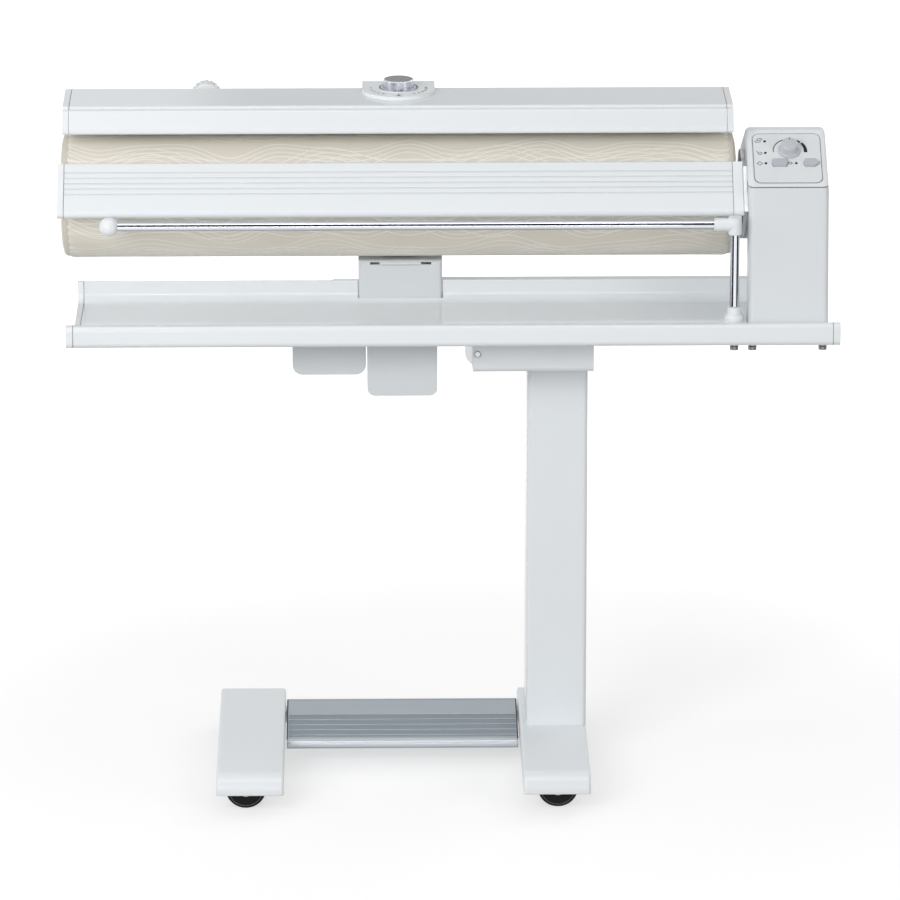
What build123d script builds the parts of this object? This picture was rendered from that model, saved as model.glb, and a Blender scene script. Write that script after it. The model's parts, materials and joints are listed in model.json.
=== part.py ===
from build123d import *
import os
from math import sin, cos, radians, sqrt

# A free-standing household rotary ironer, in millimetres.
# +X points to the head with the controls, +Y to the back, +Z up.
# The origin is on the floor, under the middle of the whole machine.
# The photograph shows it set up, with the heater lifted off the roller.

# Overall size
overall_width = 1004.0
overall_depth = 380.0

# Fits and gaps that the whole machine shares
running_fit = 0.05      # radial play of a turning shaft
seat_gap = 0.3          # play between pieces that move past each other
panel_gap = 1.0         # visible joint between two covers
overrun = 5.0           # how far a cutting tool passes its work

# Feet
foot_width = 88.0
foot_top = 56.0
foot_bottom = 30.0
foot_wall = 1.5
foot_nose_radius = 24.0
foot_edge_radius = 4.0
left_foot_x = -260.5
right_foot_x = 141.0

# Castor wheels, which roll sideways
wheel_radius = 26.5
wheel_width = 20.0
wheel_edge = 1.8
wheel_line_radius = 23.5
wheel_line_width = 1.0
wheel_line_depth = 0.8
wheel_inset = 46.0      # from the nose of a foot to the wheel's middle
left_wheel_shift = -6.0
right_wheel_shift = 2.0
wheel_side_gap = 1.0
cheek_thickness = 3.0
cheek_width = 36.0
cheek_round = 9.0
axle_radius = 4.0
axle_head_radius = 7.0
axle_head_length = 3.0

# Cross tube between the feet
cross_tube_depth = 30.0
cross_tube_height = 13.0
cross_tube_wall = 2.0
cross_tube_front = 113.0
cross_tube_bottom = 26.5

# Foot pedal
pedal_gap = 2.2
pedal_rear_y = 130.0
pedal_rear_z = 54.0
pedal_nose_y = 5.0
pedal_nose_top = 38.0
pedal_nose_height = 13.0
pedal_skin = 3.0
pedal_rear_lip = 8.0
pedal_pivot_y = 104.0
pedal_pivot_z = 44.0
pedal_boss_radius = 6.0
pedal_pin_radius = 4.0
pedal_pin_length = 26.0
pedal_end_thickness = 3.0
pedal_groove_count = 5
pedal_groove_first_y = 82.0
pedal_groove_pitch = 15.2
pedal_groove_width = 2.4
pedal_groove_depth = 1.0
pedal_travel = 6.5      # degrees
bush_radius = 6.2
bush_flange_radius = 7.6
bush_flange = 1.5
pedal_spring_wire = 1.2
pedal_spring_turns = 10
switch_length = 28.0
switch_depth = 10.0
switch_height = 16.0

# Column
column_width = 80.0
column_depth = 96.0
column_front = 9.0
column_wall = 2.5
column_corner = 6.0
column_offset = 4.0     # its middle is this far right of the foot's
flange_margin = 10.0
flange_thickness = 4.0
bolt_radius = 4.0
bolt_head_radius = 7.0
bolt_head_height = 4.5

# Console on the column, open at the top and at its left end
console_left = 32.0
console_right = 189.0
console_front = -85.0
console_back = 115.0
console_bottom = 573.0
console_top = 628.0
console_sheet = 3.0
console_corner = 8.0

# Fold hinge: the machine head turns up on its right end
fold_x = 38.2
fold_z = 598.4
fold_pin_radius = 4.0
fold_pin_proud = 1.2
saddle_ear = 4.0
saddle_left = 20.0
saddle_right = 180.0
saddle_plate = 4.0
saddle_round = 16.0
saddle_strip = 20.0
buffer_radius = 10.0
buffer_inset = 20.0

# Main beam of the machine
beam_left = -10.0
beam_right = 480.0
beam_front = 20.0
beam_back = 100.0
beam_height = 20.0
beam_wall = 3.0

# Laundry tray
tray_floor = 654.0
tray_sheet = 1.5
tray_left = -473.5
tray_right = 487.0
tray_back = -23.0
tray_rim = 682.0
tray_bend = 12.0
tray_cap_width = 7.5
tray_cap_wall = 4.0
bar_left = -491.4
bar_front = -175.0
bar_top = 661.7
bar_bottom = 632.5
bar_lobe = 17.0         # depth of the rounded part above the floor
bar_ledge = 21.0        # depth of the ledge that carries the floor
bar_wall = 2.5
bar_cap_width = 9.0
tray_support_right = 160.0
tray_bolt_y = -125.0
tray_bolt_xs = (368.5, 392.0, 482.7)
tray_bolt_drop = 39.0
tray_bolt_radius = 3.0
tray_bolt_head = 5.5

# Roller, which is held at its right end only
roller_y = -5.0
roller_z = 794.0
roller_radius = 82.0
roller_left = -499.6
roller_right = 372.7
roller_shoulder = 18.0
roller_opening_radius = 56.0
cloth_thickness = 2.0
padding_thickness = 12.0
core_wall = 3.0
core_disc = 6.0
shaft_radius = 15.0
shaft_end = 462.0
end_cap_radius = 24.0
end_cap_thickness = 3.0

# Heater, lifted by this angle about its pivot behind the roller
heater_open = 6.5       # degrees
pivot_y = 90.0
pivot_z = 690.0
nip = 0.6               # left between the hot plate and the cloth when closed
heater_left = -495.6
heater_right = 367.3
heater_cap = 8.0
hot_plate = 4.0
element_radius = 4.0
element_gap = 0.2
element_angles = (-12.0, 20.0, 52.0, 84.0)
hot_plate_front = -20.0     # degrees from straight up, forwards
hot_plate_back = 112.0      # degrees from straight up, backwards
heater_outer = 112.0        # radius of the rounded back of the cover
cover_wall = 2.0
cover_crown = 32.3      # from the hot plate's back up to the flat top
cover_front = -56.0
cover_front_height = 37.0
cover_flat_end = 43.0
cover_shoulder = 32.0   # degrees, where the flat top meets the round back
cover_edge_radius = 3.0
spine_inner = 97.0
spine_outer = 101.0
spine_start = 6.0       # degrees
spine_rib = 4.0
spine_rib_count = 5
# Angles, in degrees, left between the sheets at the edges of the heater.
edge_angle = 4.0

# Finger guard along the front of the heater
guard_pivot_y = -62.0
guard_pivot_drop = 6.0   # below the guard's top
guard_gap = 2.0
guard_drop = 3.0         # below the cover's top
guard_height = 30.0
guard_front = -76.0
guard_top_front = -66.0
guard_face_height = 8.0
guard_wall = 2.0
guard_radius = 4.0
guard_pin_radius = 2.0
guard_pin_length = 6.0
guard_travel = 8.0      # degrees

# Arm that carries the heater
arm_left = -98.0
arm_right = -26.0
arm_web_left = -85.0
arm_web_right = -40.0
arm_boss_radius = 16.0
arm_thickness = 22.0
arm_lever = 90.0
arm_pin_radius = 8.0
lug_thickness = 6.0
lug_round = 15.0
arm_frame_left = -150.0
arm_frame_front = 20.0
arm_frame_back = 142.0
arm_frame_plate = 6.0
arm_frame_margin = 3.0

# Lift cam and its motor
cam_radius = 14.0
cam_width = 14.0
cam_clearance = 1.2
cam_shaft_radius = 5.0
lift_motor_radius = 24.0
lift_motor_left = -194.0
lift_motor_right = -130.0
lift_gear_width = 18.0

# Two drive boxes under the tray
box_sheet = 1.5
box_back = 152.0
left_box_left = -202.0
left_box_right = -106.7
left_box_bottom = 570.7
left_box_front = -82.0
left_box_corner = 13.0
right_box_left = -105.0
right_box_right = -14.0
right_box_bottom = 543.0
right_box_front = -86.0
right_box_corner = 10.0

# Cover over the arm
arm_cover_left = -116.0
arm_cover_right = -7.0
arm_cover_front = -27.0
arm_cover_back = 150.0
arm_cover_top = 709.0
arm_cover_wall = 2.0
arm_cover_radius = 5.0
arm_window_front = 62.0
arm_window_back = 126.0
arm_window_margin = 4.0
arm_slot_height = 3.0
arm_slot_depth = 8.0
arm_slot_spans = ((-100.7, -88.5), (-34.5, -21.4))

# Feeder plate in front of the roller
feeder_left = -overall_width / 2
feeder_right = 379.0
feeder_left_cap = 8.0
feeder_right_cap = 13.0
feeder_top_y = -75.0
feeder_top_z = 853.0
feeder_slope = 45.0     # degrees
feeder_length = 78.0
feeder_skin = 3.0
feeder_edge = 5.0
feeder_depth = 14.0
feeder_lip = 5.5
feeder_rib_count = 5
feeder_rib_first = 14.0
feeder_rib_pitch = 8.0
feeder_rib_width = 1.6
feeder_rib_depth = 0.8

# Head with the drive and the controls
head_left = 385.0
head_right = 488.0
head_inset = 12.0
head_front = -150.0
head_seam = 830.0
head_seam_y = -125.0
head_top = 884.0
head_top_front = -35.0
head_top_back = -19.0
head_shoulder_y = 70.0
head_shoulder_z = 842.0
head_back = 92.0
head_wall = 2.5
head_radius = 9.0
head_edge = 6.5
head_front_depth = 46.0
shaft_hole_gap = 3.0

# Drive inside the head
gearbox_left = 402.0
gearbox_right = 446.0
gearbox_radius = 46.0
gearbox_foot = 60.0
gearbox_edge = 3.0
motor_radius = 38.0
motor_left = 402.0
motor_right = 478.0
motor_y = 20.0
motor_z = 698.0
bearing_width = 14.0
bearing_radius = 26.0

# Bearing plate between the roller and the head
plate_left = 379.6
plate_radius = 56.0
plate_arm = 26.0
plate_screw_radius = 3.0
plate_screw_head = 5.5
plate_screw_height = 3.0

# Control panel
panel_margin_x = 8.0
panel_margin = 8.0
panel_sheet = 1.6
board_drop = 14.0
board_thickness = 1.6
board_margin = 14.0
speed_knob_x = 439.6
speed_knob_along = 66.0
speed_skirt_radius = 15.5
speed_skirt_height = 4.0
speed_skirt_edge = 2.5
speed_cap_edge = 3.0
speed_cap_radius = 11.75
speed_knob_height = 17.0
speed_stem_radius = 3.0
button_width = 20.8
button_depth = 12.0
button_height = 3.6
button_point = 4.0
button_point_shares = (0.5, 1.5)
button_xs = (426.4, 467.5)
button_along = 43.5
button_travel = 1.5
button_stem_radius = 2.0
button_gap = 0.35
led_radius = 1.5
led_x = 408.6
led_alongs = (43.0, 62.0, 83.0)
led_between_x = 447.6

# Temperature dial on top of the heater
dial_x = -63.0
dial_y = 18.0
dial_radius = 47.0
dial_back = 60.0
dial_thickness = 5.0
dial_skirt = 16.0
dial_ring_radius = 25.75
dial_ring_height = 1.2
temp_knob_radius = 19.75
temp_knob_height = 11.5
temp_knob_rise = 18.0    # from the cover's top to the knob's
temp_knob_edge = 1.5
temp_stem_radius = 4.0
thermostat_radius = 16.0
thermostat_height = 14.0

# Release knob on the back of the heater
release_x = -314.5
release_z = 896.0
release_face = 95.0
release_length = 27.0
release_radius = 20.0
release_grip_count = 18
release_grip_depth = 1.4
release_stem_radius = 4.0
release_stem_length = 27.0
release_boss_radius = 14.0

# Laundry rail
rail_x = 366.6
rail_y = -145.0
rail_z = 786.6
rail_radius = 6.0
rail_end = -434.8
rail_ball_radius = 12.5
rail_sleeve_radius = 8.5
rail_sleeve_reach = 13.5
rail_corner_top = 801.0
rail_corner_bottom = 774.0
socket_radius = 12.5
socket_height = 14.0
socket_collar_radius = 9.0
socket_collar_height = 24.0
socket_floor = 3.0
rail_bar_seat = 10.0


# Shared shapes

def block(x, y, z):
    """A block that fills a span on each axis, given as (low, high)."""
    sizes = [high - low for low, high in (x, y, z)]
    solid = Box(*sizes, align=(Align.MIN, Align.MIN, Align.MIN))
    return Pos(x[0], y[0], z[0]) * solid


def rod(start, end, radius):
    """A round bar between two points."""
    axis = Vector(*end) - Vector(*start)
    bar = Cylinder(radius, axis.length, align=(Align.CENTER, Align.CENTER, Align.MIN))
    return Plane(origin=start, z_dir=axis) * bar


def along_x(profile, x):
    """Extrude a section drawn in Y and Z over a span of X."""
    plane = Plane(origin=(x[0], 0, 0), x_dir=(0, 1, 0), z_dir=(1, 0, 0))
    return extrude(plane * profile, amount=x[1] - x[0])


def along_y(profile, y):
    """Extrude a section drawn in X and Z over a span of Y."""
    plane = Plane(origin=(0, y[1], 0), x_dir=(1, 0, 0), z_dir=(0, -1, 0))
    return extrude(plane * profile, amount=y[1] - y[0])


def outline(*points):
    """A flat face with straight sides."""
    return make_face(Polyline(*points, close=True))


def rounded(face, radius, keep=()):
    """Round the corners of a face, except those at the places in keep."""
    corners = [v for v in face.vertices()
               if all(abs(v.X - x) + abs(v.Y - y) > panel_gap / 10 for x, y in keep)]
    return fillet(corners, radius)


def rectangle(x, y):
    """A flat rectangle that fills a span on each axis."""
    return outline((x[0], y[0]), (x[1], y[0]), (x[1], y[1]), (x[0], y[1]))


def around(centre, radius, angle):
    """The point at an angle from straight up, towards the back."""
    turn = radians(angle)
    return (centre[0] + radius * sin(turn), centre[1] + radius * cos(turn))


def ring_sector(centre, inner, outer, start, end):
    """A curved strip between two radii and two angles."""
    middle = (start + end) / 2
    edges = [
        ThreePointArc(*[around(centre, outer, a) for a in (start, middle, end)]),
        Line(around(centre, outer, end), around(centre, inner, end)),
        ThreePointArc(*[around(centre, inner, a) for a in (end, middle, start)]),
        Line(around(centre, inner, start), around(centre, outer, start)),
    ]
    return make_face(edges)


def save(shape, name):
    """Write one node's solids to its own file."""
    export_step(shape, "parts/" + name + ".step")


def save_group(shapes, name):
    """Write several separate solids to one file."""
    save(Compound(children=[solid for shape in shapes for solid in shape.solids()]), name)


# Feet

nose_front = -overall_depth / 2
nose_back = overall_depth / 2
foot_height = foot_top - foot_bottom


def foot_block(width, depth, top, bottom, nose, edge):
    """A foot's outer or inner form: a bar with a rounded nose at each end."""
    profile = rectangle((-depth / 2, depth / 2), (bottom, top))
    profile = rounded(profile, nose, keep=((-depth / 2, bottom), (depth / 2, bottom)))
    bar = along_x(profile, (-width / 2, width / 2))
    sides = bar.faces().sort_by(Axis.X)
    edges = [e for side in (sides[0], sides[-1]) for e in side.edges()
             if e.center().Z > bottom + panel_gap / 10]
    return fillet(edges, edge)


def foot_shell(x):
    """One hollow foot, open underneath."""
    outer = foot_block(foot_width, overall_depth, foot_top, foot_bottom,
                       foot_nose_radius, foot_edge_radius)
    inner = foot_block(foot_width - 2 * foot_wall, overall_depth - 2 * foot_wall,
                       foot_top - foot_wall, foot_bottom - overrun,
                       foot_nose_radius - foot_wall, foot_edge_radius - foot_wall)
    return Pos(x, 0, 0) * (outer - inner)


bush_bore = rod((left_foot_x, pedal_pivot_y, pedal_pivot_z),
                (right_foot_x, pedal_pivot_y, pedal_pivot_z), bush_radius)
flange_front = column_front + flange_margin
flange_back = column_front + column_depth - flange_margin
column_x = right_foot_x + column_offset
flange_xs = [column_x + side * (column_width / 2 - 2 * flange_margin) for side in (-1, 1)]
flange_ys = [flange_front + flange_margin, flange_back - flange_margin]
flange_spots = [(x, y) for x in flange_xs for y in flange_ys]

flange_bores = Compound(children=[
    rod((x, y, foot_top - foot_wall - flange_thickness - overrun),
        (x, y, foot_top + flange_thickness + overrun), bolt_radius + running_fit)
    for x, y in flange_spots])

save(foot_shell(left_foot_x) - bush_bore, "foot_shell_left")
save(foot_shell(right_foot_x) - bush_bore - flange_bores, "foot_shell_right")

# Castors: each wheel turns on an axle along Y, between two cheeks

wheel_y = overall_depth / 2 - wheel_inset
wheel_spots = {
    "front_left": (left_foot_x + left_wheel_shift, -wheel_y),
    "rear_left": (left_foot_x + left_wheel_shift, wheel_y),
    "front_right": (right_foot_x + right_wheel_shift, -wheel_y),
    "rear_right": (right_foot_x + right_wheel_shift, wheel_y),
}


def castor_wheel(x, y):
    """A wheel with rounded edges and a fine ring in each face."""
    front, back = y - wheel_width / 2, y + wheel_width / 2
    wheel = rod((x, front, wheel_radius), (x, back, wheel_radius), wheel_radius)
    wheel = chamfer(wheel.edges().filter_by(GeomType.CIRCLE), wheel_edge)
    wheel -= rod((x, front - overrun, wheel_radius), (x, back + overrun, wheel_radius),
                 axle_radius + running_fit)
    for face, inward in ((front, 1), (back, -1)):
        start = (x, face - inward * overrun, wheel_radius)
        end = (x, face + inward * wheel_line_depth, wheel_radius)
        line = rod(start, end, wheel_line_radius) - rod(start, end, wheel_line_radius - wheel_line_width)
        wheel -= line
    return wheel


def castor_cheek(x, y):
    """A plate from the top of the foot down to the axle."""
    top = foot_top - foot_wall
    shape = outline((x - cheek_width / 2, top), (x + cheek_width / 2, top),
                    (x + cheek_round, wheel_radius), (x - cheek_round, wheel_radius))
    shape += Pos(x, wheel_radius) * Circle(cheek_round)
    shape -= Pos(x, wheel_radius) * Circle(axle_radius)
    return along_y(shape, (y - cheek_thickness / 2, y + cheek_thickness / 2))


cheek_offset = wheel_width / 2 + wheel_side_gap + cheek_thickness / 2
axle_half = cheek_offset + cheek_thickness / 2
cheeks = []
axles = []
for name, (x, y) in wheel_spots.items():
    save(castor_wheel(x, y), "castor_wheel_" + name)
    cheeks += [castor_cheek(x, y - cheek_offset), castor_cheek(x, y + cheek_offset)]
    axle = rod((x, y - axle_half, wheel_radius), (x, y + axle_half, wheel_radius), axle_radius)
    for side in (-1, 1):
        face = y + side * axle_half
        axle += rod((x, face, wheel_radius), (x, face + side * axle_head_length, wheel_radius),
                    axle_head_radius)
    axles.append(axle)
save_group(cheeks + axles, "castor_brackets")

# Cross tube, between the facing sides of the feet

inner_left = left_foot_x + foot_width / 2
inner_right = right_foot_x - foot_width / 2
tube_y = (cross_tube_front, cross_tube_front + cross_tube_depth)
tube_z = (cross_tube_bottom, cross_tube_bottom + cross_tube_height)
tube_section = rectangle(tube_y, tube_z)
tube_section -= rectangle((tube_y[0] + cross_tube_wall, tube_y[1] - cross_tube_wall),
                          (tube_z[0] + cross_tube_wall, tube_z[1] - cross_tube_wall))
save(along_x(tube_section, (inner_left, inner_right)), "foot_cross_tube")

# Foot pedal: an aluminium extrusion with end plates and pivot pins

pedal_left = inner_left + pedal_gap
pedal_right = inner_right - pedal_gap
pedal_slope_share = (pedal_rear_z - pedal_nose_top) / (pedal_rear_y - pedal_nose_y - pedal_nose_height / 2)


def pedal_surface(y):
    """Height of the pedal's top face."""
    return pedal_rear_z - (pedal_rear_y - y) * pedal_slope_share


def pedal_section():
    """Sloping skin with grooves, a round nose, a rear lip and the pivot boss."""
    nose_radius = pedal_nose_height / 2
    nose_centre = (pedal_nose_y + nose_radius, pedal_nose_top - nose_radius)
    skin = outline(
        (pedal_rear_y, pedal_rear_z), (nose_centre[0], pedal_nose_top),
        (nose_centre[0], pedal_nose_top - pedal_skin), (pedal_rear_y, pedal_rear_z - pedal_skin))
    lip = rectangle((pedal_rear_y - pedal_skin, pedal_rear_y),
                    (pedal_rear_z - pedal_rear_lip, pedal_rear_z))
    nose = Pos(*nose_centre) * Circle(nose_radius)
    nose -= Pos(*nose_centre) * Circle(nose_radius - pedal_skin)
    boss = Pos(pedal_pivot_y, pedal_pivot_z) * Circle(pedal_boss_radius)
    section = skin + lip + nose + boss
    for i in range(pedal_groove_count):
        y = pedal_groove_first_y - i * pedal_groove_pitch
        z = pedal_surface(y)
        section -= rectangle((y - pedal_groove_width / 2, y + pedal_groove_width / 2),
                             (z - pedal_groove_depth, z + pedal_groove_width))
    return section - Pos(pedal_pivot_y, pedal_pivot_z) * Circle(pedal_pin_radius)


pedal_plate_span = (pedal_left + pedal_end_thickness, pedal_right - pedal_end_thickness)
pedal_nose_radius = pedal_nose_height / 2
pedal_nose_centre = (pedal_nose_y + pedal_nose_radius, pedal_nose_top - pedal_nose_radius)
pedal_end = outline(
    (pedal_rear_y, pedal_rear_z), (pedal_nose_centre[0], pedal_nose_top),
    (pedal_nose_centre[0], pedal_nose_top - pedal_nose_height),
    (pedal_pivot_y, pedal_pivot_z - pedal_boss_radius),
    (pedal_rear_y, pedal_rear_z - pedal_rear_lip))
pedal_end += Pos(*pedal_nose_centre) * Circle(pedal_nose_radius)
pedal_end -= Pos(pedal_pivot_y, pedal_pivot_z) * Circle(pedal_pin_radius)
save_group([
    along_x(pedal_section(), pedal_plate_span),
    along_x(pedal_end, (pedal_left, pedal_left + pedal_end_thickness)),
    along_x(pedal_end, (pedal_right - pedal_end_thickness, pedal_right))], "pedal")


def pedal_pin(side_x, outward):
    """A pivot pin from inside the pedal into the foot."""
    inner_end = side_x - outward * pedal_pin_length
    outer_end = side_x + outward * pedal_pin_length
    return rod((inner_end, pedal_pivot_y, pedal_pivot_z),
               (outer_end, pedal_pivot_y, pedal_pivot_z), pedal_pin_radius)


def pedal_bush(side_x, outward):
    """A flanged bush in the foot's side wall."""
    wall_in = side_x + outward * foot_wall
    end = wall_in + outward * bush_flange
    bush = rod((side_x, pedal_pivot_y, pedal_pivot_z), (wall_in, pedal_pivot_y, pedal_pivot_z),
               bush_radius)
    bush += rod((wall_in, pedal_pivot_y, pedal_pivot_z), (end, pedal_pivot_y, pedal_pivot_z),
                bush_flange_radius)
    return bush - rod((side_x - outward * overrun, pedal_pivot_y, pedal_pivot_z),
                      (end + outward * overrun, pedal_pivot_y, pedal_pivot_z),
                      pedal_pin_radius + running_fit)


def pedal_spring(side_x, outward):
    """The closed coil of the return spring, round the pin inside the foot."""
    start = side_x + outward * (foot_wall + bush_flange)
    end = start + outward * pedal_spring_turns * pedal_spring_wire
    inner_radius = pedal_pin_radius + pedal_spring_wire / 2
    coil = rod((start, pedal_pivot_y, pedal_pivot_z), (end, pedal_pivot_y, pedal_pivot_z),
               inner_radius + pedal_spring_wire)
    return coil - rod((start, pedal_pivot_y, pedal_pivot_z), (end, pedal_pivot_y, pedal_pivot_z),
                      inner_radius)


sides = ((inner_left, -1), (inner_right, 1))
save_group([form(x, outward) for x, outward in sides for form in (pedal_pin, pedal_spring)], "pedal_pivots")
save_group([pedal_bush(x, outward) for x, outward in sides], "pedal_bushes")

switch_back = pedal_pivot_y - bush_flange_radius - panel_gap
save(block((inner_right + foot_wall, inner_right + foot_wall + switch_depth),
           (switch_back - switch_length, switch_back),
           (foot_top - foot_edge_radius - switch_height, foot_top - foot_edge_radius)), "pedal_switch")

# Column: a rectangular tube bolted to the right foot through a base flange

column_left = column_x - column_width / 2
column_right = column_x + column_width / 2
column_back = column_front + column_depth
column_outer = rounded(rectangle((column_left, column_right), (column_front, column_back)), column_corner)
column_inner = rounded(
    rectangle((column_left + column_wall, column_right - column_wall),
              (column_front + column_wall, column_back - column_wall)), column_corner - column_wall)
column_z = (foot_top, console_bottom)
save(extrude(Pos(0, 0, column_z[0]) * (column_outer - column_inner), amount=column_z[1] - column_z[0]),
     "column_tube")

flange_x = (column_left + column_wall + panel_gap, column_right - column_wall - panel_gap)
base_flange = block(flange_x, (flange_front, flange_back), (foot_top, foot_top + flange_thickness))
column_fixings = [base_flange - flange_bores]
for x, y in flange_spots:
    top = foot_top + flange_thickness
    under = foot_top - foot_wall
    bolt = rod((x, y, under - bolt_head_height), (x, y, top + bolt_head_height), bolt_radius)
    bolt += rod((x, y, top), (x, y, top + bolt_head_height), bolt_head_radius)
    bolt += rod((x, y, under - bolt_head_height), (x, y, under), bolt_head_radius)
    column_fixings.append(bolt)
save_group(column_fixings, "column_fixings")

# Console: a sheet channel on the column, with a wall at its right end

console_z = (console_bottom, console_top)
console = block((console_left, console_right), (console_front, console_back), console_z)
front_edges = console.edges().filter_by(Axis.X).group_by(Axis.Z)[0]
console = fillet(front_edges, console_corner)
channel = block((console_left - overrun, console_right - console_sheet),
                (console_front + console_sheet, console_back - console_sheet),
                (console_bottom + console_sheet, console_top + overrun))
channel = fillet(channel.edges().filter_by(Axis.X).group_by(Axis.Z)[0], console_corner - console_sheet)
console -= channel
fold_bore = rod((fold_x, console_front - overrun, fold_z), (fold_x, console_back + overrun, fold_z),
                fold_pin_radius)
save(console - fold_bore, "console")
save(rod((fold_x, console_front - fold_pin_proud, fold_z),
         (fold_x, console_back + fold_pin_proud, fold_z), fold_pin_radius), "fold_pin")

# Fold saddle: two ears on the pin, joined by a cross plate under the beam

beam_bottom = bar_bottom
saddle_z = (beam_bottom - saddle_plate, beam_bottom)
ear = rectangle((saddle_left, saddle_right), (beam_bottom - saddle_strip, beam_bottom))
ear += Pos(fold_x, fold_z) * Circle(saddle_round)
ear += outline((fold_x - saddle_round, fold_z), (fold_x + saddle_round, fold_z),
               (fold_x + 2 * saddle_round, beam_bottom - saddle_strip),
               (fold_x + 2 * saddle_round, beam_bottom), (fold_x - saddle_round, beam_bottom))
ear -= Pos(fold_x, fold_z) * Circle(fold_pin_radius + running_fit)
ear_fronts = (console_front + console_sheet + panel_gap,
              console_back - console_sheet - panel_gap - saddle_ear)
saddle = Part() + [along_y(ear, (y, y + saddle_ear)) for y in ear_fronts]
saddle += block((saddle_left, saddle_right), (ear_fronts[0], ear_fronts[1] + saddle_ear), saddle_z)

buffer_x = console_right - console_sheet - buffer_inset
save_group([
    rod((buffer_x, y, console_bottom + console_sheet), (buffer_x, y, saddle_z[0] - seat_gap),
        buffer_radius)
    for y in (column_front + buffer_inset, column_back - buffer_inset)], "fold_buffers")

# Main beam, a flat box section behind the tray

beam_y = (beam_front, beam_back)
beam_z = (beam_bottom, beam_bottom + beam_height)
beam_section = rectangle(beam_y, beam_z)
beam_section -= rectangle((beam_y[0] + beam_wall, beam_y[1] - beam_wall),
                          (beam_z[0] + beam_wall, beam_z[1] - beam_wall))
beam = along_x(beam_section, (beam_left, beam_right))

# Tray: a bent sheet, with a round front bar and caps at the ends

bar_right = overall_width / 2
bar_lobe_back = bar_front + bar_lobe
bar_ledge_back = bar_lobe_back + bar_ledge
tray_underside = tray_floor - tray_sheet


def tray_section(thickness, front):
    """Floor, bend and back wall of the tray, drawn from above the sheet."""
    bend = (tray_back - tray_sheet - tray_bend, tray_floor + tray_bend)
    outer = tray_bend + thickness
    edges = [
        Line((front, tray_floor), (bend[0], tray_floor)),
        RadiusArc((bend[0], tray_floor), (bend[0] + tray_bend, bend[1]), -tray_bend),
        Line((bend[0] + tray_bend, bend[1]), (bend[0] + tray_bend, tray_rim)),
        Line((bend[0] + tray_bend, tray_rim), (bend[0] + outer, tray_rim)),
        Line((bend[0] + outer, tray_rim), (bend[0] + outer, bend[1])),
        RadiusArc((bend[0] + outer, bend[1]), (bend[0], bend[1] - outer), outer),
        Line((bend[0], bend[1] - outer), (front, bend[1] - outer)),
        Line((front, bend[1] - outer), (front, tray_floor)),
    ]
    return make_face(edges)


socket_bore = rod((rail_x, rail_y, bar_bottom), (rail_x, rail_y, tray_floor + overrun),
                  tray_bolt_radius)
tray = along_x(tray_section(tray_sheet, bar_lobe_back), (tray_left, tray_right))
tray -= block((arm_cover_left - panel_gap, arm_cover_right + panel_gap),
              (arm_cover_front, tray_back + overrun),
              (tray_underside - overrun, tray_rim + overrun))
tray_bolt_spots = [(x, tray_bolt_y) for x in tray_bolt_xs]
for x, y in tray_bolt_spots:
    tray -= rod((x, y, bar_bottom), (x, y, tray_floor + overrun), tray_bolt_radius)
tray -= block((head_left + head_inset - panel_gap, tray_right + overrun),
              (tray_back - tray_sheet - tray_bend, tray_back + overrun),
              (tray_underside - overrun, tray_rim + overrun))
save(tray - socket_bore, "tray")
tray_cap = along_x(tray_section(tray_cap_wall, bar_ledge_back), (tray_left - tray_cap_width, tray_left))

bar_outline = outline(
    (bar_front, bar_bottom), (bar_front, bar_top), (bar_lobe_back, bar_top),
    (bar_lobe_back, tray_underside), (bar_ledge_back, tray_underside), (bar_ledge_back, bar_bottom))
bar_round = bar_lobe / 2 - panel_gap
bar_round_corners = [v for v in bar_outline.vertices()
                     if v.X < bar_lobe_back + panel_gap and (v.Y > bar_top - panel_gap or v.X < bar_front + panel_gap)]
bar_outline = fillet(bar_round_corners, bar_round)
bar_hollow = Pos(bar_front + bar_lobe / 2, 0) * rectangle(
    (bar_wall - bar_lobe / 2, bar_lobe / 2 - bar_wall), (bar_bottom + bar_wall, bar_top - bar_wall))
bar_hollow = fillet(bar_hollow.vertices(), bar_lobe / 2 - bar_wall - panel_gap)
bar_span = (bar_left + bar_cap_width, bar_right - bar_cap_width)
save(along_x(bar_outline - bar_hollow, bar_span) - socket_bore, "tray_front_bar")
save_group([tray_cap, along_x(bar_outline, (bar_left, bar_span[0])),
            along_x(bar_outline, (bar_span[1], bar_right))], "tray_end_caps")

tray_bolts = []
for x, y in tray_bolt_spots:
    low = tray_floor - tray_bolt_drop
    bolt = rod((x, y, low), (x, y, tray_floor), tray_bolt_radius)
    bolt += rod((x, y, low), (x, y, low + bolt_head_height), tray_bolt_head)
    bolt += rod((x, y, low + tray_bolt_head), (x, y, tray_underside), tray_bolt_head)
    tray_bolts.append(bolt)

tray_support = block((fold_x, tray_support_right), (ear_fronts[0], tray_back),
                     (beam_bottom, tray_underside))
tray_support -= block((fold_x - overrun, tray_support_right + overrun),
                      (ear_fronts[0] + saddle_plate, tray_back - saddle_plate),
                      (beam_bottom - overrun, tray_underside - saddle_plate))
save_group([saddle, tray_support], "fold_saddle")

# Roller: shaft, steel core, padding and cloth, held at the right end

roller_axis = (roller_y, roller_z)


def roller_rod(x, radius):
    """A bar along the roller's axis."""
    return rod((x[0], roller_y, roller_z), (x[1], roller_y, roller_z), radius)


padding_outer = roller_radius - cloth_thickness
core_outer = padding_outer - padding_thickness
cloth_x = (roller_left, roller_right)
padding_x = (roller_left + cloth_thickness, roller_right - cloth_thickness)
core_x = (padding_x[0] + roller_shoulder / 2, padding_x[1] - roller_shoulder / 2)


def soft_drum(x, radius, shoulder):
    """A cylinder with soft shoulders."""
    drum = roller_rod(x, radius)
    return fillet(drum.edges().filter_by(GeomType.CIRCLE), shoulder)


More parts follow.
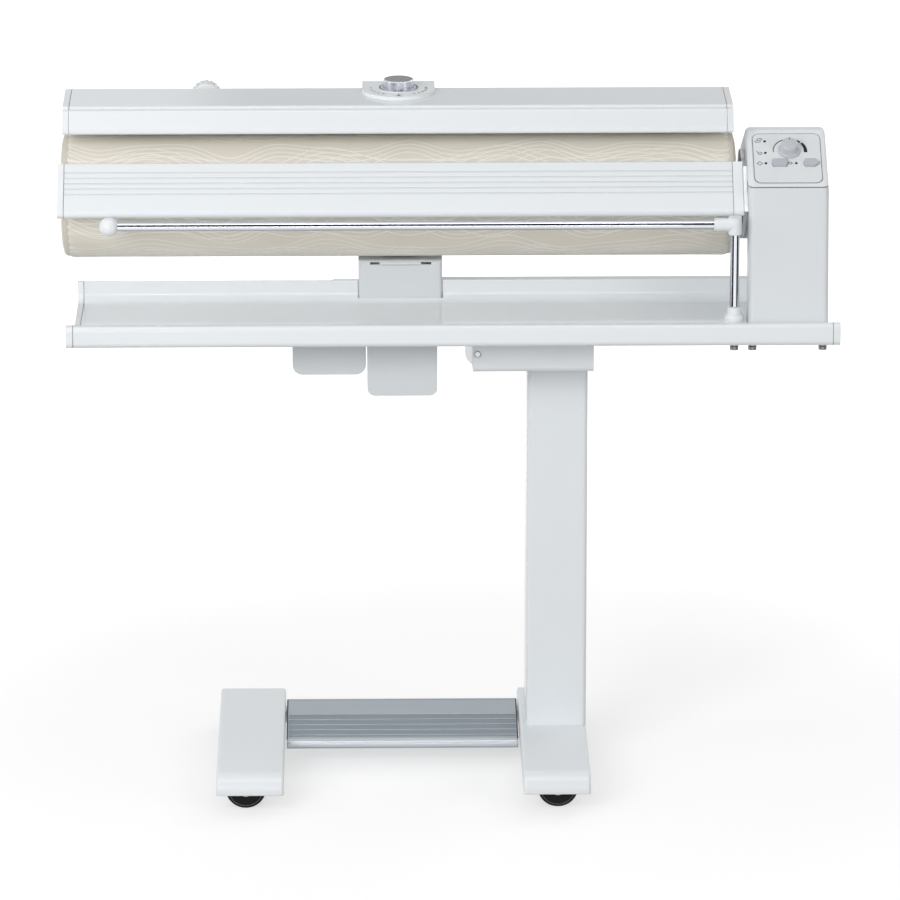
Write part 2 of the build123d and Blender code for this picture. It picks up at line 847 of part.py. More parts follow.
cloth = soft_drum(cloth_x, roller_radius, roller_shoulder)
cloth_cavity = soft_drum(padding_x, padding_outer, roller_shoulder - cloth_thickness)
end_opening = roller_rod((roller_left - overrun, roller_right + overrun), roller_opening_radius)
save(cloth - cloth_cavity - end_opening, "roller_cloth")
core_space = roller_rod(core_x, core_outer)
save(cloth_cavity - core_space - end_opening, "roller_padding")
core = core_space - roller_rod((core_x[0] + core_disc, core_x[1] - core_disc), core_outer - core_wall)
core -= roller_rod((core_x[0] - overrun, core_x[1] + overrun), shaft_radius)
end_cap = roller_rod((core_x[0] - end_cap_thickness, core_x[0]), end_cap_radius)
save_group([core, end_cap], "roller_core")
save(roller_rod((core_x[0], shaft_end), shaft_radius), "roller_shaft")

# Heater unit. Its curved parts share the roller's axis when it is closed,
# so here that axis is turned back about the arm's pivot.

open_turn = radians(-heater_open)
reach_y, reach_z = roller_y - pivot_y, roller_z - pivot_z
heater_axis = (pivot_y + reach_y * cos(open_turn) - reach_z * sin(open_turn),
               pivot_z + reach_y * sin(open_turn) + reach_z * cos(open_turn))
plate_inner = roller_radius + nip
plate_outer = plate_inner + hot_plate
cover_top = heater_axis[1] + plate_outer + cover_crown
heater_x = (heater_left + heater_cap, heater_right - heater_cap)
element_ring = plate_outer + element_gap + element_radius

save(along_x(ring_sector(heater_axis, plate_inner, plate_outer, hot_plate_front, hot_plate_back),
             heater_x), "hot_plate")

element_x = (heater_x[0] + 2 * heater_cap, heater_x[1] - 2 * heater_cap)
element_spots = [around(heater_axis, element_ring, angle) for angle in element_angles]
save_group([rod((element_x[0], *spot), (element_x[1], *spot), element_radius)
            for spot in element_spots], "heating_elements")

spine_end = hot_plate_back - edge_angle
spine_stop = hot_plate_back - edge_angle / 2
spine = along_x(ring_sector(heater_axis, spine_inner, spine_outer, spine_start, spine_stop), element_x)
cover_inner = heater_outer - cover_wall
rib_profile = ring_sector(heater_axis, plate_outer, cover_inner, hot_plate_front + edge_angle, spine_end)
for spot in element_spots:
    rib_profile -= Pos(*spot) * Circle(element_radius)
rib_step = (element_x[1] - element_x[0] - spine_rib) / (spine_rib_count - 1)
for i in range(spine_rib_count):
    left = element_x[0] + i * rib_step
    spine += along_x(rib_profile, (left, left + spine_rib))
save(spine, "heater_spine")

# Cover over the heater: a flat top that runs into a rounded back

cover_side = ring_sector(heater_axis, plate_outer + element_gap, heater_outer, hot_plate_front, hot_plate_back)


def crest(inset):
    """The flat-topped part of the cover's section, drawn in by a wall."""
    face = outline(
        (cover_front + inset, cover_top - cover_front_height + inset), (cover_front + inset, cover_top - inset),
        (cover_flat_end, cover_top - inset), around(heater_axis, heater_outer - inset, cover_shoulder),
        around(heater_axis, spine_inner, spine_start), around(heater_axis, plate_outer, hot_plate_front / 2),
        around(heater_axis, plate_outer + inset, hot_plate_front + inset))
    return face - Pos(*heater_axis) * Circle(plate_outer + element_gap)


cover_face = cover_side + crest(0)
top_corners = [v for v in cover_face.vertices() if abs(v.Y - cover_top) < panel_gap / 10]
cover_face = fillet(top_corners, cover_edge_radius)
cover_hollow = crest(cover_wall)
cover_hollow += ring_sector(heater_axis, plate_outer - overrun, cover_inner, hot_plate_front + edge_angle,
                            hot_plate_back - edge_angle / 2)
cover = along_x(cover_face - cover_hollow, heater_x)
arm_foot_window = ring_sector(heater_axis, plate_outer + cover_wall, cover_inner, spine_end,
                              hot_plate_back + edge_angle)
cover -= along_x(arm_foot_window, (arm_left, arm_right))

release_bore = rod((release_x, release_face - release_stem_length, release_z),
                   (release_x, release_face + overrun, release_z), release_stem_radius + running_fit)
release_boss = rod((release_x, heater_axis[1] - roller_z + cover_flat_end, release_z),
                   (release_x, release_face - panel_gap, release_z), release_boss_radius)
release_boss -= along_x(cover_face, heater_x)
thermostat_bore = rod((dial_x, dial_y, cover_top - thermostat_height - overrun),
                      (dial_x, dial_y, cover_top + dial_thickness + overrun),
                      temp_stem_radius + running_fit)
save(cover + release_boss - release_bore - thermostat_bore, "heater_cover")

# Finger guard: a hollow bar that tips on pins in the heater's end caps

guard_back = cover_front - guard_gap
guard_top = cover_top - guard_drop
guard_bottom = guard_top - guard_height
guard_pivot_z = guard_top - guard_pivot_drop
guard_corners = [
    (guard_back, guard_bottom), (guard_back, guard_top), (guard_top_front, guard_top),
    (guard_front, guard_bottom + guard_face_height), (guard_front, guard_bottom)]
guard_face = fillet(outline(*guard_corners).vertices(), guard_radius)
guard_hollow = offset(guard_face, amount=-guard_wall)
guard_x = (heater_x[0] + seat_gap, heater_x[1] - seat_gap)
guard_pivot = (guard_pivot_y, guard_pivot_z)
guard_pins = Pos(*guard_pivot) * Circle(guard_pin_radius)
guard_bar = along_x(guard_face - guard_hollow - guard_pins, guard_x)
guard_pivots = [
    rod((x + into * guard_pin_length, *guard_pivot), (x - into * guard_pin_length, *guard_pivot),
        guard_pin_radius)
    for x, into in ((heater_x[0], 1), (heater_x[1], -1))]
save_group([guard_bar] + guard_pivots, "finger_guard")

cap_face = cover_face + guard_face + rectangle((guard_back - guard_gap, cover_front + guard_gap),
                                               (guard_bottom + guard_gap, guard_top - guard_gap))
cap_face += ring_sector(heater_axis, plate_inner, plate_outer + cover_wall, hot_plate_front, hot_plate_back)
cap_face -= Pos(*guard_pivot) * Circle(guard_pin_radius + running_fit)
save_group([along_x(cap_face, (heater_left, heater_x[0])),
            along_x(cap_face, (heater_x[1], heater_right))], "heater_end_caps")

# Arm under the heater, its pivot and the frame that carries it

pivot = (pivot_y, pivot_z)
arm_web = outline(
    (pivot_y - arm_thickness / 2, pivot_z),
    around(heater_axis, plate_outer + cover_wall, hot_plate_back + edge_angle / 2),
    around(heater_axis, cover_inner, hot_plate_back + edge_angle / 2),
    (pivot_y + arm_thickness / 2, pivot_z))
arm_foot = ring_sector(heater_axis, plate_outer + cover_wall, cover_inner, spine_stop,
                       hot_plate_back + edge_angle)
hub = Pos(*pivot) * Circle(arm_boss_radius)
lever_radius = arm_thickness / 2 - cover_wall
lever_end = (pivot_y, pivot_z - arm_lever)
lever = rectangle((pivot_y - lever_radius, pivot_y + lever_radius), (lever_end[1], pivot_z))
lever += Pos(*lever_end) * Circle(lever_radius)
lever_middle = (arm_web_left + arm_web_right) / 2
lever_x = (lever_middle - cam_width / 2, lever_middle + cam_width / 2)
arm = along_x(arm_web, (arm_web_left, arm_web_right))
arm += along_x(arm_foot, (arm_left + panel_gap, arm_right - panel_gap))
arm += along_x(hub, (arm_left, arm_right))
arm += along_x(lever, lever_x)
arm -= rod((arm_left - overrun, *pivot), (arm_right + overrun, *pivot), arm_pin_radius + running_fit)
save(arm, "heater_arm")

lugs_x = ((arm_left - seat_gap - lug_thickness, arm_left - seat_gap),
          (arm_right + seat_gap, arm_right + seat_gap + lug_thickness))
save(rod((lugs_x[0][0], *pivot), (lugs_x[1][1], *pivot), arm_pin_radius), "arm_pivot_pin")
frame_top = beam_z[0] + arm_frame_plate
lug = Pos(*pivot) * Circle(lug_round)
lug += rectangle((pivot_y - lug_round, pivot_y + lug_round), (frame_top, pivot_z))
lug -= Pos(*pivot) * Circle(arm_pin_radius)
cam_half_travel = arm_lever * sin(radians(heater_open)) / 2
cam_y = pivot_y + lever_radius + cam_clearance + cam_radius + cam_half_travel
arm_frame = block((arm_frame_left, beam_left), (arm_frame_front, arm_frame_back), (beam_z[0], frame_top))
arm_frame -= block((lever_x[0] - arm_frame_margin, lever_x[1] + arm_frame_margin),
                   (pivot_y - lever_radius - arm_frame_margin, cam_y),
                   (beam_z[0] - overrun, frame_top + overrun))
for span in lugs_x:
    arm_frame += along_x(lug, span)
save_group([beam, arm_frame], "machine_frame")

# Lift drive: a geared motor turns a cam behind the lever

lever_z = lever_end[1]
cam = rod((lever_x[0], cam_y - cam_half_travel, lever_z), (lever_x[1], cam_y - cam_half_travel, lever_z),
          cam_radius)
cam -= rod((lever_x[0] - overrun, cam_y, lever_z), (lever_x[1] + overrun, cam_y, lever_z), cam_shaft_radius)
cam_shaft = rod((lift_motor_right + seat_gap, cam_y, lever_z), (lever_x[1] + lug_thickness, cam_y, lever_z),
                cam_shaft_radius)
save_group([cam, cam_shaft], "lift_cam")
lift_motor = rod((lift_motor_left, cam_y, lever_z), (lift_motor_right, cam_y, lever_z), lift_motor_radius)
lift_motor = chamfer(lift_motor.edges().filter_by(GeomType.CIRCLE), cover_wall)
lift_motor += block((arm_frame_left, lift_motor_right), (cam_y - lift_gear_width, cam_y + lift_gear_width),
                    (lever_z, beam_z[0]))
save(lift_motor, "lift_motor")


def drive_box(x, front, bottom, corner):
    """A sheet box under the tray, open at the top, with rounded lower corners."""
    def form(inset, lift):
        solid = block((x[0] + inset, x[1] - inset), (front + inset, box_back - inset),
                      (bottom + inset, beam_z[0] + lift))
        low_edges = solid.edges().filter_by(Axis.Y).group_by(Axis.Z)[0]
        return fillet(low_edges, corner - inset)
    return form(0, 0) - form(box_sheet, overrun)


shaft_hole = rod((left_box_right - overrun, cam_y, lever_z), (right_box_left + overrun, cam_y, lever_z),
                 cam_shaft_radius + shaft_hole_gap)
left_box = drive_box((left_box_left, left_box_right), left_box_front, left_box_bottom, left_box_corner)
right_box = drive_box((right_box_left, right_box_right), right_box_front, right_box_bottom, right_box_corner)
save(left_box - shaft_hole, "drive_box_left")
save(right_box - shaft_hole, "drive_box_right")

# Cover over the arm, with a window for the arm and two slots at its front edge

arm_cover_x = (arm_cover_left, arm_cover_right)
arm_cover = block(arm_cover_x, (arm_cover_front, arm_cover_back), (tray_floor, arm_cover_top))
cover_edges = arm_cover.edges().filter_by(Axis.Z) + arm_cover.edges().filter_by(Axis.X).group_by(Axis.Z)[-1]
arm_cover = fillet(cover_edges, arm_cover_radius)
arm_cover -= block((arm_cover_left + arm_cover_wall, arm_cover_right - arm_cover_wall),
                   (arm_cover_front + arm_cover_wall, arm_cover_back - arm_cover_wall),
                   (tray_floor - overrun, arm_cover_top - arm_cover_wall))
arm_cover -= block((arm_web_left - arm_window_margin, arm_web_right + arm_window_margin),
                   (arm_window_front, arm_window_back), (pivot_z, arm_cover_top + overrun))
for span in arm_slot_spans:
    arm_cover -= block(span, (arm_cover_front - overrun, arm_cover_front + arm_slot_depth),
                       (arm_cover_top - arm_slot_height - arm_cover_radius / 2,
                        arm_cover_top - arm_cover_radius / 2))
save(arm_cover, "arm_cover")

# Feeder plate: a sloping extrusion, drawn flat and then turned

feeder_turn = radians(feeder_slope)
along = (-cos(feeder_turn), -sin(feeder_turn))
inward = (sin(feeder_turn), -cos(feeder_turn))


def feeder_point(distance, depth):
    """A point down the feeder's slope, at a depth below its face."""
    return (feeder_top_y + distance * along[0] + depth * inward[0],
            feeder_top_z + distance * along[1] + depth * inward[1])


feeder_face = outline(
    feeder_point(0, 0), feeder_point(feeder_length, 0), feeder_point(feeder_length, 2 * feeder_lip),
    feeder_point(feeder_length / 2, feeder_depth), feeder_point(feeder_edge, feeder_edge),
    feeder_point(0, feeder_edge))
top_edge = [v for v in feeder_face.vertices() if v.Y > feeder_top_z - feeder_edge]
lip_edge = [v for v in feeder_face.vertices() if v.X < feeder_point(feeder_length, 0)[0] + 2 * feeder_lip]
feeder_face = fillet(top_edge, feeder_edge / 3)
feeder_face = fillet([v for v in feeder_face.vertices()
                      if any(abs(v.X - c.X) + abs(v.Y - c.Y) < running_fit for c in lip_edge)],
                     feeder_lip - seat_gap)
feeder_hollow = outline(
    feeder_point(2 * feeder_edge, feeder_skin), feeder_point(feeder_length - feeder_lip, feeder_skin),
    feeder_point(feeder_length - feeder_lip, 2 * feeder_lip - feeder_skin / 2),
    feeder_point(feeder_length / 2, feeder_depth - feeder_skin))
feeder_grooves = Sketch()
for i in range(feeder_rib_count):
    start = feeder_rib_first + i * feeder_rib_pitch
    feeder_grooves += outline(
        feeder_point(start, -feeder_rib_width), feeder_point(start + feeder_rib_width, -feeder_rib_width),
        feeder_point(start + feeder_rib_width, feeder_rib_depth), feeder_point(start, feeder_rib_depth))
feeder_span = (feeder_left + feeder_left_cap, feeder_right - feeder_right_cap)
save(along_x(feeder_face - feeder_hollow - feeder_grooves, feeder_span), "feeder_plate")
save_group([along_x(feeder_face, (feeder_left, feeder_span[0])),
            along_x(feeder_face, (feeder_span[1], feeder_right))], "feeder_end_caps")

# Bearing plate: carries the feeder and steadies the shaft, on the head's left side

plate_x = (plate_left, head_left)
bearing_plate = Pos(*roller_axis) * Circle(plate_radius)
bearing_plate += outline(
    feeder_point(feeder_edge, feeder_edge), feeder_point(feeder_length - feeder_lip, feeder_lip),
    (roller_y - plate_arm, roller_z - plate_radius), (roller_y + plate_arm, roller_z - plate_radius),
    (roller_y, roller_z + plate_radius - plate_screw_head))
plate_bore = Pos(*roller_axis) * Circle(shaft_radius + shaft_hole_gap)
plate_screws = [(roller_y - plate_radius / 2, roller_z - plate_radius / 2),
                (roller_y - plate_radius / 2, roller_z + plate_radius / 2),
                feeder_point(feeder_length / 2, feeder_depth + plate_screw_head + panel_gap)]
for spot in plate_screws:
    plate_bore += Pos(*spot) * Circle(plate_screw_radius)
save(along_x(bearing_plate - plate_bore, plate_x), "bearing_plate")
screws = []
for spot in plate_screws:
    screw = rod((plate_left, *spot), (head_left, *spot), plate_screw_radius)
    screw += rod((plate_left - plate_screw_height, *spot), (plate_left, *spot), plate_screw_head)
    screws.append(screw)
save_group(tray_bolts + screws, "machine_screws")

# Head: a front cover, a body behind it and a sloping control housing on top

panel_span = sqrt((head_top_front - head_seam_y) ** 2 + (head_top - head_seam) ** 2)
panel_along = ((head_top_front - head_seam_y) / panel_span, (head_top - head_seam) / panel_span)
panel_out = (-panel_along[1], panel_along[0])


def panel_point(distance, height):
    """A point up the control panel's slope, at a height above its face."""
    return (head_seam_y + distance * panel_along[0] + height * panel_out[0],
            head_seam + distance * panel_along[1] + height * panel_out[1])


def panel_place(x, distance, height):
    """The same point with its place across the panel."""
    return (x, *panel_point(distance, height))


def head_section(inset):
    """The head seen from its side, drawn in by a wall."""
    return outline(
        (head_front + inset, tray_floor), panel_point(inset, -inset),
        (head_top_front, head_top - inset), (head_top_back, head_top - inset),
        (head_shoulder_y - inset / 2, head_shoulder_z - inset), (head_back - inset, head_seam - inset),
        (head_back - inset, tray_floor))


def head_form(x, inset):
    """The head's solid, with soft edges along its right side."""
    return along_x(head_section(inset), (x[0] + inset, x[1] - inset))


head_x = (head_left, head_right)
head_split = head_front + head_front_depth
below_seam = (tray_floor, head_seam - panel_gap / 2)
above_seam = (head_seam + panel_gap / 2, head_top + overrun)
wide = (head_left - overrun, head_right + overrun)
deep = (head_front - overrun, head_back + overrun)
head_outer = head_form(head_x, 0)
outer_edges = [e for side in (head_outer.faces().sort_by(Axis.X)[0], head_outer.faces().sort_by(Axis.X)[-1])
               for e in side.edges() if e.center().Z > tray_floor + panel_gap and e.center().Y < head_back - panel_gap]
head_outer = fillet(outer_edges, head_edge)
head_shell = head_outer - head_form(head_x, head_wall)
front_zone = block(wide, (deep[0], head_split), below_seam)
save(head_shell & front_zone, "head_front_cover")

body_x = (head_left + head_inset, head_right)
head_body = head_form(body_x, 0) - head_form(body_x, head_wall)
head_body &= block(wide, (head_split + panel_gap / 2, deep[1]), below_seam)
head_body -= roller_rod((head_left, body_x[0] + overrun), shaft_radius + shaft_hole_gap)
head_body += block((head_left, body_x[0]), (roller_y - plate_arm, roller_y + plate_arm),
                   (roller_z - plate_radius, roller_z - shaft_radius - shaft_hole_gap))
save(head_body, "head_body")

button_spots = [(x, button_along, share) for x, share in zip(button_xs, button_point_shares)]
led_spots = [(led_x, distance) for distance in led_alongs] + [(led_between_x, led_alongs[0])]


def panel_rod(x, distance, low, high, radius):
    """A round bar square to the control panel."""
    return rod(panel_place(x, distance, low), panel_place(x, distance, high), radius)


def panel_plane(x, distance, height):
    """A plane square to the control panel, with its X to the right."""
    return Plane(origin=panel_place(x, distance, height), x_dir=(1, 0, 0), z_dir=(0, *panel_out))


def panel_pad(x, distance, low, high, width, depth, corner):
    """A rounded pad square to the control panel."""
    return extrude(panel_plane(x, distance, low) * RectangleRounded(width, depth, corner), amount=high - low)


def button_key(spot, low, high, gap):
    """A button with cut corners and a point at its right end, grown by a gap."""
    x, distance, point_share = spot
    wide, deep = button_width / 2 + gap, button_depth / 2 + gap
    point = button_point * point_share
    face = outline((-wide, 0), (button_point / 2 - wide, -deep), (wide - point, -deep), (wide, 0),
                   (wide - point, deep), (button_point / 2 - wide, deep))
    return extrude(panel_plane(x, distance, low) * face, amount=high - low)


panel_middle = (head_left + head_right) / 2
panel_width = head_right - head_left - 2 * panel_margin_x
panel_depth = panel_span - 2 * panel_margin
control_housing = head_shell & block(wide, deep, above_seam)
panel_seat = panel_pad(panel_middle, panel_span / 2, -panel_sheet / 2, overrun,
                       panel_width + 2 * seat_gap, panel_depth + 2 * seat_gap, head_radius)
panel_holes = panel_rod(speed_knob_x, speed_knob_along, -board_drop, overrun, speed_stem_radius + running_fit)
for spot in button_spots:
    panel_holes += button_key(spot, -board_drop + board_thickness, overrun, button_gap)
for x, distance in led_spots:
    panel_holes += panel_rod(x, distance, -board_drop + board_thickness, overrun, led_radius)
save(control_housing - panel_seat - panel_holes, "control_housing")
panel_plate = panel_pad(panel_middle, panel_span / 2, -panel_sheet / 2, panel_sheet / 2,
                        panel_width, panel_depth, head_radius)
save(panel_plate - panel_holes, "control_panel")
board = panel_pad(panel_middle, panel_span / 2, -board_drop, -board_drop + board_thickness,
                  panel_width - board_margin, panel_depth - board_margin, board_thickness)
for x, distance in led_spots:
    board += panel_rod(x, distance, -board_drop, panel_sheet - led_radius / 2, led_radius - running_fit)
board -= panel_rod(speed_knob_x, speed_knob_along, -board_drop - overrun, overrun, speed_stem_radius + running_fit)
save(board, "control_board")

speed_knob = panel_rod(speed_knob_x, speed_knob_along, panel_sheet, panel_sheet + speed_skirt_height,
                       speed_skirt_radius)
cap_body = panel_rod(speed_knob_x, speed_knob_along, panel_sheet + speed_skirt_height,
                     panel_sheet + speed_knob_height, speed_cap_radius)
speed_knob = chamfer(speed_knob.edges().filter_by(GeomType.CIRCLE).sort_by(Axis.Z)[-1:], speed_skirt_edge)
speed_knob += fillet(cap_body.edges().filter_by(GeomType.CIRCLE).sort_by(Axis.Z)[-1:], speed_cap_edge)
speed_knob += panel_rod(speed_knob_x, speed_knob_along, -board_drop, panel_sheet, speed_stem_radius)
save(speed_knob, "speed_knob")
for name, spot in zip(("left", "right"), button_spots):
    button = button_key(spot, -panel_sheet, button_height, 0)
    stem_low = button_travel + panel_gap - board_drop + board_thickness
    save(button + panel_rod(*spot[:2], stem_low, -panel_sheet, button_stem_radius), "button_" + name)

# Drive inside the head: gearbox, motor and the shaft's outer bearing

gearbox_profile = Pos(*roller_axis) * Circle(gearbox_radius)
gearbox_profile += rectangle((roller_y - gearbox_radius + gearbox_edge, roller_y + gearbox_radius - gearbox_edge),
                             (motor_z + motor_radius, roller_z))
gearbox_profile -= Pos(*roller_axis) * Circle(shaft_radius + running_fit)
bearing = Pos(*roller_axis) * (Circle(bearing_radius) - Circle(shaft_radius + running_fit))
save_group([along_x(gearbox_profile, (gearbox_left, gearbox_right)),
            along_x(bearing, (gearbox_right, gearbox_right + bearing_width))], "gearbox")
drive_motor = rod((motor_left, motor_y, motor_z), (motor_right, motor_y, motor_z), motor_radius)
drive_motor = chamfer(drive_motor.edges().filter_by(GeomType.CIRCLE), gearbox_edge)
drive_motor += block((gearbox_left, gearbox_right), (motor_y - arm_thickness, motor_y + arm_thickness),
                     (tray_underside, motor_z - motor_radius + gearbox_edge))
save(drive_motor, "drive_motor")

# Temperature dial: a seat plate and ring on the cover, the thermostat below, the knob above

dial_plate_top = cover_top + dial_thickness
dial_face = Pos(dial_x, dial_y) * Circle(dial_radius)
dial_face += rectangle((dial_x - dial_radius, dial_x + dial_radius), (dial_y, dial_back))
dial_face &= rectangle((dial_x - dial_radius, dial_x + dial_radius), (dial_y - dial_radius, dial_back))
dial_plate = extrude(Pos(0, 0, cover_top - dial_skirt) * dial_face, amount=dial_skirt + dial_thickness)
dial_plate -= along_x(cover_face + Pos(*heater_axis) * Circle(heater_outer - cover_wall), heater_x)
dial_plate += rod((dial_x, dial_y, dial_plate_top), (dial_x, dial_y, dial_plate_top + dial_ring_height),
                  dial_ring_radius)
dial_bore = rod((dial_x, dial_y, cover_top - dial_skirt - overrun),
                (dial_x, dial_y, dial_plate_top + overrun), temp_stem_radius + running_fit)
save(dial_plate - dial_bore, "dial_plate")
thermostat = rod((dial_x, dial_y, cover_top - cover_wall - thermostat_height),
                 (dial_x, dial_y, cover_top - cover_wall), thermostat_radius)
temp_knob_top = cover_top + temp_knob_rise
knob_low = temp_knob_top - temp_knob_height
stem_low = cover_top - cover_wall - thermostat_height / 2
thermostat -= rod((dial_x, dial_y, stem_low - seat_gap), (dial_x, dial_y, cover_top),
                  temp_stem_radius + running_fit)
thermostat -= along_x(Pos(*heater_axis) * Circle(cover_inner), heater_x)
save(thermostat, "thermostat")
temp_knob = rod((dial_x, dial_y, knob_low), (dial_x, dial_y, temp_knob_top), temp_knob_radius)
temp_knob = fillet(temp_knob.edges().filter_by(GeomType.CIRCLE).sort_by(Axis.Z)[-1:], temp_knob_edge)
temp_knob += rod((dial_x, dial_y, stem_low), (dial_x, dial_y, knob_low), temp_stem_radius)
save(temp_knob, "temperature_knob")

# Release knob: a fluted hand knob on the back of the heater

release_knob = rod((release_x, release_face, release_z), (release_x, release_face + release_length, release_z),
                   release_radius)
release_knob = chamfer(release_knob.edges().filter_by(GeomType.CIRCLE), release_grip_depth)
for i in range(release_grip_count):
    turn = radians(360 * i / release_grip_count)
    x = release_x + release_radius * cos(turn)
    z = release_z + release_radius * sin(turn)
    release_knob -= rod((x, release_face + release_grip_depth * 4, z),
                        (x, release_face + release_length + overrun, z), release_grip_depth)
release_knob += rod((release_x, release_face - release_stem_length + seat_gap, release_z),
                    (release_x, release_face, release_z), release_stem_radius)
save(release_knob, "release_knob")

# Laundry rail: a post in a socket on the tray, a corner and a bar with a ball end

socket = rod((rail_x, rail_y, tray_floor), (rail_x, rail_y, tray_floor + socket_height), socket_radius)
socket = fillet(socket.edges().filter_by(GeomType.CIRCLE).sort_by(Axis.Z)[-1:], socket_radius / 3)
socket += rod((rail_x, rail_y, tray_floor), (rail_x, rail_y, tray_floor + socket_collar_height),
              socket_collar_radius)
socket -= rod((rail_x, rail_y, tray_floor + socket_floor),
              (rail_x, rail_y, tray_floor + socket_collar_height + overrun), rail_radius + running_fit)
socket += rod((rail_x, rail_y, tray_underside - bolt_head_height), (rail_x, rail_y, tray_floor),
              tray_bolt_radius)
save(socket, "rail_socket")

sleeve_low = rail_z - rail_sleeve_reach
post_top = sleeve_low + rail_bar_seat
post = rod((rail_x, rail_y, tray_floor + socket_floor + seat_gap), (rail_x, rail_y, post_top), rail_radius)
sleeve_left = rail_x - 2 * rail_sleeve_reach
bar_start = rail_x - rail_sleeve_reach
bar_stop = rail_end + rail_ball_radius - rail_bar_seat
rail_bar = rod((bar_start, rail_y, rail_z), (bar_stop, rail_y, rail_z), rail_radius)
save_group([post, rail_bar], "rail_rods")
corner = rod((rail_x, rail_y, rail_corner_bottom), (rail_x, rail_y, rail_corner_top - rail_sleeve_radius / 2),
             rail_sleeve_radius)
corner += Pos(rail_x, rail_y, rail_z) * Sphere(rail_sleeve_radius)
corner += rod((rail_x, rail_y, rail_z), (sleeve_left, rail_y, rail_z), rail_sleeve_radius)
bores = rod((rail_x, rail_y, rail_corner_bottom - overrun), (rail_x, rail_y, post_top + running_fit),
            rail_radius + running_fit)
bores += rod((bar_start + running_fit, rail_y, rail_z), (bar_stop - running_fit, rail_y, rail_z),
             rail_radius + running_fit)
ball = Pos(rail_end, rail_y, rail_z) * Rot(0, 0, 90) * Sphere(rail_ball_radius)
save_group([corner - bores, ball - bores], "rail_fittings")
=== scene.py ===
# %% [markdown]
# Rotary ironer
# A rotary ironer presses laundry between a turning padded roller and a heated shoe. This
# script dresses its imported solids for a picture. Most of the machine is coated sheet and
# moulded covers, so those solids stay and only get finishes. The cloth on the roller, the
# signs on the panel, the knobs and the screw recesses are built here as meshes.

# %% Load the frame
import json
from math import cos, pi, radians, sin

import bmesh
import bpy
from mathutils import Matrix, Vector
from mathutils.bvhtree import BVHTree
from mathutils.geometry import convex_hull_2d


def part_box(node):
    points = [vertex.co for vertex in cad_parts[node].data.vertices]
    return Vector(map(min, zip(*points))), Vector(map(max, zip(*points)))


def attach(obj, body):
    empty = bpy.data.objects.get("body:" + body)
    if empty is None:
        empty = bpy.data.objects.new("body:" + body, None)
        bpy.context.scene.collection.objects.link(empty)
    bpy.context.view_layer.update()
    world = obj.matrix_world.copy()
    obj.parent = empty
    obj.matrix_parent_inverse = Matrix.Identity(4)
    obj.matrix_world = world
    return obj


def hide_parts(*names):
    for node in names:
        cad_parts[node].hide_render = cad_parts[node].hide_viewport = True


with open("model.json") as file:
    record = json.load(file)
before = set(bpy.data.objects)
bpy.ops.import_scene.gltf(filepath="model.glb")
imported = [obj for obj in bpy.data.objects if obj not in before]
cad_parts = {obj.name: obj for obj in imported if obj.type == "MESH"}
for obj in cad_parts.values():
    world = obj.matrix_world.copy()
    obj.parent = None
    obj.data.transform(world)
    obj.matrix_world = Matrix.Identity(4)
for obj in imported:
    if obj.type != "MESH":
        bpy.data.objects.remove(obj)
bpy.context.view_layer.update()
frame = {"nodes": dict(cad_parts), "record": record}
nodes = frame["nodes"]
body_of_node = {n: b for b, members in frame["record"]["behaviour"]["bodies"].items() for n in members}

# %% [markdown]
# A finish needs more than a colour. Powder coat has a fine orange-peel skin, moulded covers
# have a satin grain, and both catch a thin light line along their edges. One small group of
# shader nodes makes that skin for every finish, so each material only sets its own numbers.
# Object coordinates keep the grain at its real size, whatever the shape of the piece. A tree
# could be wired link by link, but helpers that take a socket where they take a number keep
# each node to one line.

# %% Helpers for node trees


def feed(tree, target, value):
    """Link a socket to an input, or set the input to a plain value."""
    if isinstance(value, bpy.types.NodeSocket):
        tree.links.new(value, target)
    else:
        target.default_value = value


def fill(tree, node, **values):
    """Feed the named inputs of a node, or set its properties. A _ stands for a space."""
    for key, value in values.items():
        name = key.replace("_", " ")
        if name in node.inputs:
            feed(tree, node.inputs[name], value)
        else:
            setattr(node, key, value)
    return node


def add(tree, kind, **values):
    """Add one node to a tree and fill it."""
    return fill(tree, tree.nodes.new(kind), **values)


def socket(group, name, way, kind="NodeSocketFloat", value=None):
    """Give a node group one named input or output."""
    item = group.interface.new_socket(name, in_out=way, socket_type=kind)
    if value is not None:
        item.default_value = value


def maths(tree, operation, *values):
    """One sum on numbers or sockets."""
    node = add(tree, "ShaderNodeMath", operation=operation)
    for i, value in enumerate(values):
        feed(tree, node.inputs[i], value)
    return node.outputs[0]


print("helpers for trees:", [helper.__name__ for helper in (feed, fill, add, socket, maths)])

# %% The shared skin
skin = bpy.data.node_groups.new("surface skin", "ShaderNodeTree")
for name, value in (("Grain scale", 600.0), ("Grain height", 0.00002), ("Edge radius", 0.0006),
                    ("Smoothest", 0.3), ("Roughest", 0.4)):
    socket(skin, name, "INPUT", value=value)
socket(skin, "Tone", "OUTPUT")
socket(skin, "Roughness", "OUTPUT")
socket(skin, "Normal", "OUTPUT", "NodeSocketVector")
given = add(skin, "NodeGroupInput").outputs
place = add(skin, "ShaderNodeTexCoord").outputs["Object"]
cloud = add(skin, "ShaderNodeTexNoise", Vector=place, Scale=9.0, Detail=3.0).outputs["Fac"]
grain = add(skin, "ShaderNodeTexNoise", Vector=place, Scale=given["Grain scale"], Detail=2.0).outputs["Fac"]
spread = add(skin, "ShaderNodeMapRange", Value=cloud, To_Min=given["Smoothest"], To_Max=given["Roughest"])
edge = add(skin, "ShaderNodeBevel", samples=4, Radius=given["Edge radius"])
relief = add(skin, "ShaderNodeBump", Strength=0.6, Distance=given["Grain height"], Height=grain,
             Normal=edge.outputs[0])
add(skin, "NodeGroupOutput", Tone=cloud, Roughness=spread.outputs["Result"], Normal=relief.outputs["Normal"])


